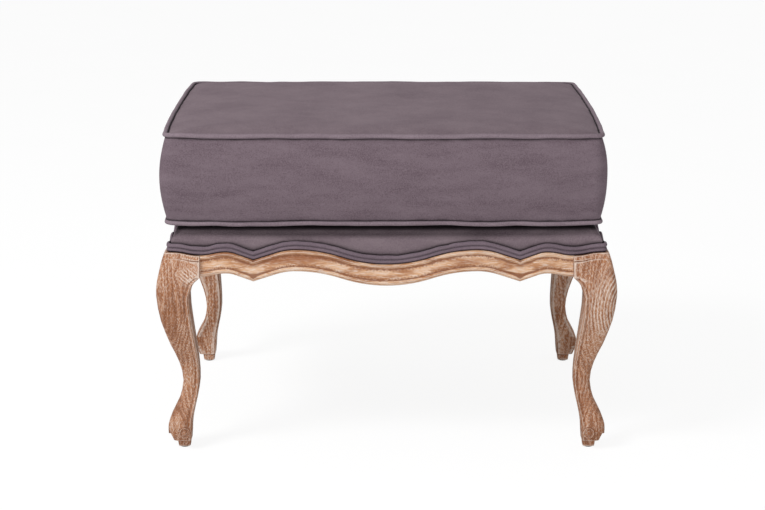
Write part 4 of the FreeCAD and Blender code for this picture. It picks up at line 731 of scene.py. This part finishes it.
def zip_face(x, share, turned=False):
    """A point of either strip's outside, share from the bottom seam to the top one. The turned edge
    along the zip is straight, and beyond the tapes the two edges are sewn shut."""
    y = HALF_DEPTH - SEAM_DEPTH + (SEAM_DEPTH + BULGE) * swell(share)
    low, high = seam_heights(x, HALF_DEPTH)
    z = low + (high - low) * share
    if turned:
        past_tape = (TAPE_HALF + SLIT_PAST - abs(x)) / SLIT_CLOSING
        z = zip_middle + math.copysign(zip_gap * min(1, max(0.04, past_tape)), share - MIDDLE_SHARE)
    y += pucker(x, 0, z, low, high)
    y += 0.5 * MM * ripple((x, 0, z), 75 * MM, 4.2) * min(1, abs(z - zip_middle) / (30 * MM))
    return x, y - 0.3 * MM, z


def zip_panel(name, upper, node):
    xs = np.linspace(-ZIP_HALF, ZIP_HALF, ZIP_COLUMNS)
    edge = zip_gap / (TOP_SEAM - BOTTOM_SEAM)
    first, last = (MIDDLE_SHARE + edge, 1.0) if upper else (MIDDLE_SHARE - edge, 0.0)
    rows = []
    for step in range(ZIP_ROWS + 1):
        share = first + (last - first) * step / ZIP_ROWS
        rows.append([zip_face(x, share, turned=step == 0) for x in xs])
    if upper:
        # From the top down, so that the cloth grows inwards
        rows = rows[::-1]
    piece = grid_piece(name, rows, shaded_boxing_pile, closed=False, thickness=CLOTH)
    dress(piece, "cushion", "velvet", node, fill=0.8)


zip_panel("upper_zip_strip", True, "zip_panel_upper")
zip_panel("lower_zip_strip", False, "zip_panel_lower")

# %% Topstitching along the zip
STITCH, STITCH_GAP, THREAD = 3.2 * MM, 1.0 * MM, 0.4 * MM
STITCH_FROM_EDGE, STITCH_FROM_END = 5 * MM, 6 * MM
stitches = []
for side in (1, -1):
    share = MIDDLE_SHARE + side * (zip_gap + STITCH_FROM_EDGE) / (TOP_SEAM - BOTTOM_SEAM)
    for k in range(int(2 * (ZIP_HALF - STITCH_FROM_END) / (STITCH + STITCH_GAP))):
        start = -ZIP_HALF + STITCH_FROM_END + k * (STITCH + STITCH_GAP)
        rings = []
        # Each stitch rises out of the cloth, lies on it and dives back in
        for part, sunk in ((0.0, 0.7), (0.2, 0.0), (0.8, 0.0), (1.0, 0.7)):
            x, y, z = zip_face(start + part * STITCH, share)
            rings.append([(x, y + THREAD * (math.cos(a) - sunk), z + THREAD * math.sin(a))
                          for a in np.linspace(0, math.tau, 6, endpoint=False)])
        stitches.append(rings)
thread = join_grids("zip_topstitching", stitches, sewing_thread)
dress(thread, "cushion", "velvet")
print(len(stitches), "stitches of", STITCH / MM, "mm")

# %% Zip coil and tapes
rows_low, rows_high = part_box("zip_rows")
tape_low, tape_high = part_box("zip_tapes")
COIL_PITCH, COIL_WIRE, COIL_STEPS = 2.2 * MM, 0.32 * MM, 10
# Fifths of a turn, round the wire
WIRE_ANGLES = 0, 1.257, 2.513, 3.770, 5.027


def coil(side):
    """One row: a flattened spring of wire along X, above or below the middle."""
    near, far = 0.95 * MM, (rows_high[2] - rows_low[2]) / 2 - COIL_WIRE
    half_depth = (rows_high[1] - rows_low[1]) / 2 - COIL_WIRE
    middle_y = (rows_high[1] + rows_low[1]) / 2
    turns = int((rows_high[0] - rows_low[0] - 2 * MM) / COIL_PITCH)
    start = rows_low[0] + 1 * MM
    centre = []
    for k in range(turns * COIL_STEPS + 1):
        angle = math.tau * k / COIL_STEPS
        reach = (near + far) / 2 + (far - near) / 2 * math.cos(angle)
        centre.append(Vector((start + COIL_PITCH * k / COIL_STEPS, middle_y + half_depth * math.sin(angle),
                              zip_middle + side * reach)))
    rings = []
    for k, point in enumerate(centre):
        ahead = centre[min(k + 1, len(centre) - 1)] - centre[max(k - 1, 0)]
        ahead.normalize()
        across = ahead.cross(Vector((1, 0, 0))).normalized()
        other = ahead.cross(across)
        rings.append([point + COIL_WIRE * (across * math.cos(a) + other * math.sin(a))
                      for a in WIRE_ANGLES])
    return rings


coils = join_grids("zip_coil", [coil(1), coil(-1)], nylon_coil)
dress(coils, "cushion", "zip_coil", "zip_rows")

tape_grids = []
for side in (1, -1):
    inner, outer = 1.6 * MM, (tape_high[2] - tape_low[2]) / 2
    section = [(inner, tape_high[1]), (outer, tape_high[1]), (outer, tape_low[1]), (inner, tape_low[1])]
    strip = []
    for x in np.linspace(tape_low[0], tape_high[0], 120):
        wave = 0.12 * MM * ripple((x, side, 0), 12 * MM, 2.2)
        strip.append([(x, y + wave - 0.15 * MM, zip_middle + side * reach) for reach, y in section])
    tape_grids.append(strip)
tapes = join_grids("zip_tape_pair", tape_grids, zip_tape_weave)
dress(tapes, "cushion", "zip_tape", "zip_tapes")

# %% [markdown]
# ## Filling
#
# Inside the cover a block of foam wears a sleeve of fibre. They show only where the zip is open or
# the cover is off, so plain forms with soft edges do.

# %% Filling
foam_low, foam_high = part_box("cushion_foam")
wrap_low, wrap_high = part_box("cushion_wrap")
FILLING_CORNER = 20 * MM
# The share of its size at which a ring that closes a form stops
CENTRE = 0.02


def filling(name, levels, material, slot, node):
    """A closed form from outlines at several heights: each level is (height, inset)."""
    rows = [[(x, y, z) for x, y in cushion_outline(inset, FILLING_CORNER)[0]] for z, inset in levels]
    middle = [[(CENTRE * x, CENTRE * y, rows[end][0][2]) for x, y, _ in rows[end]] for end in (0, -1)]
    piece = grid_piece(name, [middle[0]] + rows + [middle[1]], material, cap_last=True)
    dress(piece, "cushion", slot, node, fill=1.0)


foam_inset = HALF_DEPTH - foam_high[1]
foam_levels = []
for z, extra in ((foam_low[2], 2.5), (foam_low[2] + 1.0 * MM, 1.0), (foam_low[2] + 2.5 * MM, 0.2),
                 (foam_high[2] - 2.5 * MM, 0.2), (foam_high[2] - 1.0 * MM, 1.0), (foam_high[2], 2.5)):
    foam_levels.append((z, foam_inset + extra * MM))
filling("foam_block", foam_levels, cut_foam, "cushion_foam", "cushion_foam")


def wrap_sleeve():
    """The fibre sleeve just under the cover: rings down its side, a crowned top and a flat bottom."""
    shoulder, shoulder_z = 46 * MM, foam_high[2] + 9 * MM
    outside = []
    for z, inset in ((shoulder_z, shoulder), (foam_high[2] + 5 * MM, 18 * MM), (foam_high[2], 5 * MM),
                     (foam_high[2] - 14 * MM, 1.0 * MM), (zip_middle, -1.6 * MM),
                     (wrap_low[2] + 14 * MM, 5.0 * MM), (wrap_low[2] + 4 * MM, 15 * MM),
                     (wrap_low[2] + 2 * MM, 22 * MM)):
        line, ways = cushion_outline(inset, FILLING_CORNER)
        fluff = [0.8 * MM * ripple((x, y, z), 14 * MM, 6.6) - 1.0 * MM for x, y in line]
        outside.append([(x + w[0] * f, y + w[1] * f, z) for (x, y), w, f in zip(line, ways, fluff)])
    top = []
    line, _ = cushion_outline(shoulder, FILLING_CORNER)
    for share in (0.8, 0.55, 0.3, 0.05):
        height = shoulder_z + (wrap_high[2] - shoulder_z - 1 * MM) * (1 - share ** 4)
        top.append([(x * share, y * share, height) for x, y in line])
    under = [[(CENTRE * x, CENTRE * y, z) for x, y, z in outside[-1]]]
    return top[::-1] + outside + under


sleeve = grid_piece("fibre_sleeve", wrap_sleeve(), fibre_wrap)
dress(sleeve, "cushion", "fibre_wrap", "cushion_wrap", fill=0.7)

# %% [markdown]
# ## The tight deck
#
# Below the cushion the frame is upholstered: webbing, hessian, foam and a stretched velvet cover
# whose edge is trimmed to the carved line of the wood. Rays cast down onto the CAD's wood find that
# line, so the cloth fits the carving without repeating its formula.

# %% Find the carved line
wood_names = [f"{corner}_leg" for corner in corners] + ["front_rail", "back_rail", "left_rail", "right_rail"]
wood_points, wood_faces = [], []
for name in wood_names:
    mesh = nodes[name].data
    base = len(wood_points)
    wood_points += [nodes[name].matrix_world @ v.co for v in mesh.vertices]
    wood_faces += [tuple(base + i for i in face.vertices) for face in mesh.polygons]
wood = BVHTree.FromPolygons(wood_points, wood_faces)
COVER_X, COVER_Y, DECK_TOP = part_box("deck_cover")[1]
WELT_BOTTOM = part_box("double_welt")[0][2]
# Rays start just under the top of the legs' blocks
LEG_TOP = 330 * MM


def ledge_height(x, y):
    """The height of the wood's ledge under a place just outside the cover."""
    hit = wood.ray_cast(Vector((x, y, LEG_TOP - 0.1 * MM)), Vector((0, 0, -1)))[0]
    return hit[2] if hit else WELT_BOTTOM


def deck_outline(inset, corner, along=170, across=130, bend=10):
    """A rounded rectangle round the deck, as points and ways out, from the middle of the back."""
    half_x, half_y = COVER_X - inset, COVER_Y - inset
    corner = max(corner, 0.5 * MM)
    points, ways = [], []

    def run(a, b, way, steps):
        for share in np.linspace(0, 1, steps, endpoint=False):
            points.append((a[0] + (b[0] - a[0]) * share, a[1] + (b[1] - a[1]) * share))
            ways.append(way)

    def turn(x, y, first):
        for angle in np.linspace(first, first + math.pi / 2, bend, endpoint=False):
            points.append((x + corner * math.cos(angle), y + corner * math.sin(angle)))
            ways.append((math.cos(angle), math.sin(angle)))

    cx, cy, quarter = half_x - corner, half_y - corner, math.pi / 2
    run((0, half_y), (-cx, half_y), (0, 1), along)
    turn(-cx, cy, quarter)
    run((-half_x, cy), (-half_x, -cy), (-1, 0), 2 * across)
    turn(-cx, -cy, 2 * quarter)
    run((-cx, -half_y), (cx, -half_y), (0, -1), 2 * along)
    turn(cx, -cy, 3 * quarter)
    run((half_x, -cy), (half_x, cy), (1, 0), 2 * across)
    turn(cx, cy, 0)
    run((cx, half_y), (0, half_y), (0, 1), along)
    return points, ways


LEDGE_OUT, EDGE_CORNER = 5 * MM, 1.5 * MM
edge_points, edge_ways = deck_outline(0, EDGE_CORNER)
carved_line = [ledge_height(x + w[0] * LEDGE_OUT, y + w[1] * LEDGE_OUT)
               for (x, y), w in zip(edge_points, edge_ways)]
print("carved line from", round(min(carved_line) / MM, 1), "to", round(max(carved_line) / MM, 1), "mm high")

# %% Deck cover
FLANK = 342 * MM
LEAN, ROLL = 6.5 * MM, 24 * MM
DECK_CORNER = 9 * MM
UNDER_TOP = 0.3 * MM


def deck_rings():
    """The cover's rings of points: up from the carved line, leaning in, over the roll, along the top."""
    rings = []
    for share in (0, 0.1, 0.25, 0.45, 0.7, 1.0):
        ring = []
        for (x, y), way, line in zip(edge_points, edge_ways, carved_line):
            z = line + 1 * MM + (LEG_TOP - line - 1 * MM) * share
            tug = 0.25 * MM * ripple((x, y, z / 5), 14 * MM, 8.3) * share
            ring.append((x + way[0] * tug, y + way[1] * tug, z))
        rings.append(ring)
    for share in (0.2, 0.4, 0.6, 0.8, 1.0):
        corner = EDGE_CORNER + (DECK_CORNER - EDGE_CORNER) * share
        z = LEG_TOP + (FLANK - LEG_TOP) * share
        ring = []
        for (x, y), way in zip(*deck_outline(LEAN * share ** 1.3, corner)):
            tug = 0.4 * MM * ripple((x, y, z), 28 * MM, 8.3)
            ring.append((x + way[0] * tug, y + way[1] * tug, z))
        rings.append(ring)
    for degrees in (12, 24, 36, 50, 65, 80, 90):
        angle = math.radians(degrees)
        inwards = ROLL * (1 - math.cos(angle))
        outline, _ = deck_outline(LEAN + inwards, DECK_CORNER + inwards / 2)
        z = FLANK + (DECK_TOP - FLANK) * math.sin(angle) - UNDER_TOP
        rings.append([(x, y, z) for x, y in outline])
    for share in (0.93, 0.85, 0.7, 0.5, 0.3, 0.08):
        ring = []
        for x, y in outline:
            dip = 0.2 * MM * abs(ripple((x * share, y * share, 0), 60 * MM, 1.1))
            ring.append((x * share, y * share, DECK_TOP - UNDER_TOP - dip))
        rings.append(ring)
    return rings


cover = grid_piece("deck_velvet", deck_rings(), deck_velvet, thickness=CLOTH, cap_last=True)
dress(cover, "frame", "velvet", "deck_cover", fill=0.8)

# %% [markdown]
# ## Double welt
#
# Two cords lie side by side in one strip of velvet, which is glued over the cover's raw edge. The
# strip is a double hump carried along the carved line. Its corners are mitred round the legs.

# %% Double welt
WELT, WELT_OVERLAP = 3.3 * MM, 1.02
WELT_CLEAR, WELT_CORNER = 0.3 * MM, 2.0 * MM


def welt_section():
    """The strip's two humps, as how far out and how far up each point lies."""
    humps = []
    for middle, first, last in ((1, -110, 62), (3, -62, 110)):
        for angle in np.radians(np.linspace(first, last, 9)):
            humps.append((WELT * WELT_OVERLAP * (1 + math.cos(angle)), WELT * (middle + math.sin(angle))))
    return humps


def welt_rows():
    """The section carried along the carved line, a little fuller here and higher there."""
    section = welt_section()
    rows = [[] for _ in section]
    outline, ways = deck_outline(-WELT_CLEAR, WELT_CORNER)
    for (x, y), way, line in zip(outline, ways, carved_line):
        full = 1 + 0.05 * ripple((x, y, 0), 18 * MM, 5.5)
        low = line + WELT_CLEAR
        rise = 0.2 * MM * ripple((x, y, 0), 55 * MM, 2.5)
        for row, (away, up) in zip(rows, section):
            row.append((x + way[0] * away * full, y + way[1] * away * full, low + up * full + rise))
    # The last row is the first again, which closes the strip's back
    return rows + [rows[0]]


welt = grid_piece("double_welt_strip", welt_rows(), welt_velvet)
weld(welt)
dress(welt, "frame", "velvet", "double_welt", fill=1.0)

# %% [markdown]
# ## Under the cover
#
# The foam, the hessian and the woven jute webbing carry the sitter. They are plain, but each is a
# real layer, and the webbing really goes over and under.

# %% Deck layers
def slab(name, low, high, corner, material, slot, node):
    """A thin layer with a soft edge, between two corners of a box."""
    half_x, half_y, top = high
    points, _ = deck_outline(COVER_X - half_x, corner, along=40, across=30, bend=6)
    stretch = half_y / (COVER_Y - (COVER_X - half_x))
    edge = [(x, y * stretch) for x, y in points]
    rows = []
    for up, share in ((0, 0.05), (0, 0.4), (0, 0.7), (0, 0.98), (0.3, 1.0), (0.7, 1.0), (1, 0.98), (1, 0.7),
                      (1, 0.4), (1, 0.05)):
        z = low[2] + (top - low[2]) * up
        rows.append([(x * share, y * share, z) for x, y in edge])
    piece = grid_piece(name, rows, material)
    dress(piece, "frame", slot, node)
    return piece


# The foam is drawn 6 mm smaller than its solid, clear of the cover's rolled edge
deck_low, deck_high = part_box("deck_foam")
pad_high = [c - 6 * MM for c in deck_high]
pad = slab("deck_foam_slab", deck_low, pad_high, 8 * MM, cut_foam, "deck_foam", "deck_foam")
cloth_low, cloth_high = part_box("hessian_cloth")
jute_cloth = slab("hessian_layer", cloth_low, cloth_high, 2 * MM, hessian, "hessian", "hessian_cloth")

# %% Webbing
STRAP, STRAP_THICK = 50 * MM, 1.2 * MM
SPACING_X, SPACING_Y = 108 * MM, 84 * MM
STRAP_RING = ((-1, 0), (-0.5, 0), (0, 0), (0.5, 0), (1, 0), (1, 1), (0.5, 1), (0, 1), (-0.5, 1), (-1, 1))


def straps(name, node, pitch, crossing, along_x):
    """Five straps that rise and fall over the five that cross them."""
    low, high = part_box(node)
    half = high[0] if along_x else high[1]
    grids = []
    for i in range(-2, 3):
        strip = []
        for place in np.linspace(-half, half, 90):
            lift = 0.0
            for j in range(-2, 3):
                near = 1 - min(1.0, max(0.0, (abs(place - j * crossing) - STRAP / 2) / (20 * MM)))
                if ((i % 2 == 0) == along_x) == (j % 2 == 0):
                    lift = max(lift, 1.5 * MM * (3 * near ** 2 - 2 * near ** 3))
            ring = []
            for side, up in STRAP_RING:
                across = i * pitch + side * STRAP / 2
                z = low[2] + lift + up * STRAP_THICK
                ring.append((place, across, z) if along_x else (across, place, z))
            strip.append(ring)
        grids.append(strip)
    piece = join_grids(name, grids, jute_webbing)
    dress(piece, "frame", "webbing", node)


straps("lengthwise_straps", "webbing_lengthwise", SPACING_Y, SPACING_X, True)
straps("crosswise_straps", "webbing_crosswise", SPACING_X, SPACING_Y, False)

# %% Dust cover
dust_low, dust_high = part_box("dust_cover")
# The sheet is notched round each leg, whose mortises hold this much of a rail
TENON = 24 * MM
leg_x = -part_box("front_rail")[0][0] - TENON
leg_y = -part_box("left_rail")[0][1] - TENON


def dust_sheet():
    """Black cloth under the seat: a sagging sheet notched round the legs."""
    xs = sorted(set(list(np.linspace(dust_low[0], dust_high[0], 64)) + [-leg_x, leg_x]))
    ys = sorted(set(list(np.linspace(dust_low[1], dust_high[1], 48)) + [-leg_y, leg_y]))
    sheet = bmesh.new()
    made = {}
    for a, x in enumerate(xs):
        for b, y in enumerate(ys):
            u, v = x / dust_high[0], y / dust_high[1]
            sag = 3.0 * MM * max(0.0, 1 - u * u) * max(0.0, 1 - v * v)
            crease = 0.35 * MM * ripple((x, y, 0), 40 * MM, 9.1) * (1 - max(abs(u), abs(v)) ** 6)
            made[a, b] = sheet.verts.new((x, y, dust_low[2] + 0.4 * MM - sag + crease))
    for a in range(len(xs) - 1):
        for b in range(len(ys) - 1):
            if abs(xs[a] + xs[a + 1]) / 2 > leg_x and abs(ys[b] + ys[b + 1]) / 2 > leg_y:
                continue
            sheet.faces.new([made[a, b], made[a + 1, b], made[a + 1, b + 1], made[a, b + 1]]).smooth = True
    bmesh.ops.delete(sheet, geom=[v for v in sheet.verts if not v.link_faces], context="VERTS")
    piece = new_piece("dust_sheet", [], [], spun_cloth)
    sheet.to_mesh(piece.data)
    sheet.free()
    thicken(piece, 0.5 * MM)
    return piece


dust = dust_sheet()
dress(dust, "frame", "dust_cloth", "dust_cover")

# %% Felt glides
GLIDE, FELT = 7.5 * MM, 2 * MM
glide_x, glide_y, _ = [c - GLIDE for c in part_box("foot_glides")[1]]
grids = []
for sx in (-1, 1):
    for sy in (-1, 1):
        rows = []
        for share, up in ((0.02, 0), (0.6, 0), (0.93, 0.04), (1, 0.3), (1, 0.7), (0.96, 1), (0.02, 1)):
            reach = GLIDE * share
            rows.append([(sx * glide_x + reach * math.cos(a), sy * glide_y + reach * math.sin(a), FELT * up)
                         for a in np.linspace(0, math.tau, 28, endpoint=False)])
        grids.append(rows)
felt = join_grids("felt_glides", grids, wool_felt)
dress(felt, "frame", "felt", "foot_glides")

# %% [markdown]
# ## Floor, light and camera
#
# The object stands on a plain white floor. The floor answers the camera mostly with white light of
# its own and keeps about a sixth of its real shading, so the ground under the legs stays almost white
# and the shadow is still there, faint and soft. A large soft lamp above, in front and to the left
# models the velvet, a weaker low one reaches under the seat to the back legs, and the world fills
# the rest. The camera stands where the photograph's did: a long lens, half a metre above the seat's
# top, turned down by 14 degrees.

# %% Floor
floor_paint, tree, place = blank("matt_white_floor")
speck = add(tree, "TexNoise", {"Vector": place, "Scale": 3.0})
paint = add(tree, "ValToRGB", {"Fac": speck}, [(0.3, "#e9e9e9"), (0.7, "#eeeeee")])
matt = add(tree, "BsdfPrincipled", {"Base Color": paint, "Roughness": 0.9, "IOR": 1.5,
                                    "Specular IOR Level": 0.1})
glow = add(tree, "Emission", {"Color": (1, 1, 1, 1), "Strength": 1.08})
seen = add(tree, "LightPath").outputs["Is Camera Ray"]
own_light = add(tree, "Math", {0: seen, 1: 0.83}, operation="MULTIPLY")
add(tree, "OutputMaterial", {"Surface": add(tree, "MixShader", {0: own_light, 1: matt, 2: glow})})
floor_corners = [(-12, -12, 0), (12, -12, 0), (12, 14, 0), (-12, 14, 0)]
floor = new_piece("floor", floor_corners, [(0, 1, 2, 3)], floor_paint)

# %% World and lamps
world = bpy.data.worlds.new("white_surround")
bpy.context.scene.world = world
world.use_nodes = True
tree = world.node_tree
tree.nodes.clear()
rays = add(tree, "LightPath").outputs
mirrored = add(tree, "Math", {0: rays["Is Glossy Ray"], 1: rays["Is Transmission Ray"]}, operation="MAXIMUM")
looked_at = add(tree, "Math", {0: rays["Is Camera Ray"], 1: mirrored}, operation="MAXIMUM")
lit = add(tree, "Background", {"Color": (1, 1, 1, 1), "Strength": 0.42})
white = add(tree, "Background", {"Color": (1, 1, 1, 1), "Strength": 1.0})
add(tree, "OutputWorld", {"Surface": add(tree, "MixShader", {0: looked_at, 1: lit, 2: white})})


def soft_lamp(name, place, target, size, power):
    """A rectangular lamp turned towards a place; its size in metres and its power in watts."""
    light = bpy.data.lights.new(name, "AREA")
    light.shape = "RECTANGLE"
    light.size, light.size_y = size
    light.energy = power
    lamp = bpy.data.objects.new(name, light)
    bpy.context.collection.objects.link(lamp)
    lamp.location = place
    lamp.rotation_euler = (Vector(target) - Vector(place)).to_track_quat("-Z", "Y").to_euler()


soft_lamp("key_softbox", (-2.2, -1.7, 3.0), (0, 0, 0.3), (1.3, 1.0), 84)
soft_lamp("low_softbox", (0.7, -3.0, 0.25), (0.1, 0.1, 0.2), (1.8, 0.4), 19)

# %% Camera
PHOTO_WIDTH, FOCAL_PIXELS = 765, 2010
DOWN = 14
camera_data = bpy.data.cameras.new("camera")
camera_data.lens = FOCAL_PIXELS / PHOTO_WIDTH * camera_data.sensor_width
camera = bpy.data.objects.new("camera", camera_data)
bpy.context.collection.objects.link(camera)
camera.location = (-0.0063, -3.195, 1.045)
camera.rotation_euler = (math.radians(90 - DOWN), 0, 0)
bpy.context.scene.camera = camera
bpy.context.scene.view_settings.view_transform = "Standard"
print("lens", round(camera_data.lens, 1), "mm")

# %% Finish
bpy.context.view_layer.update()
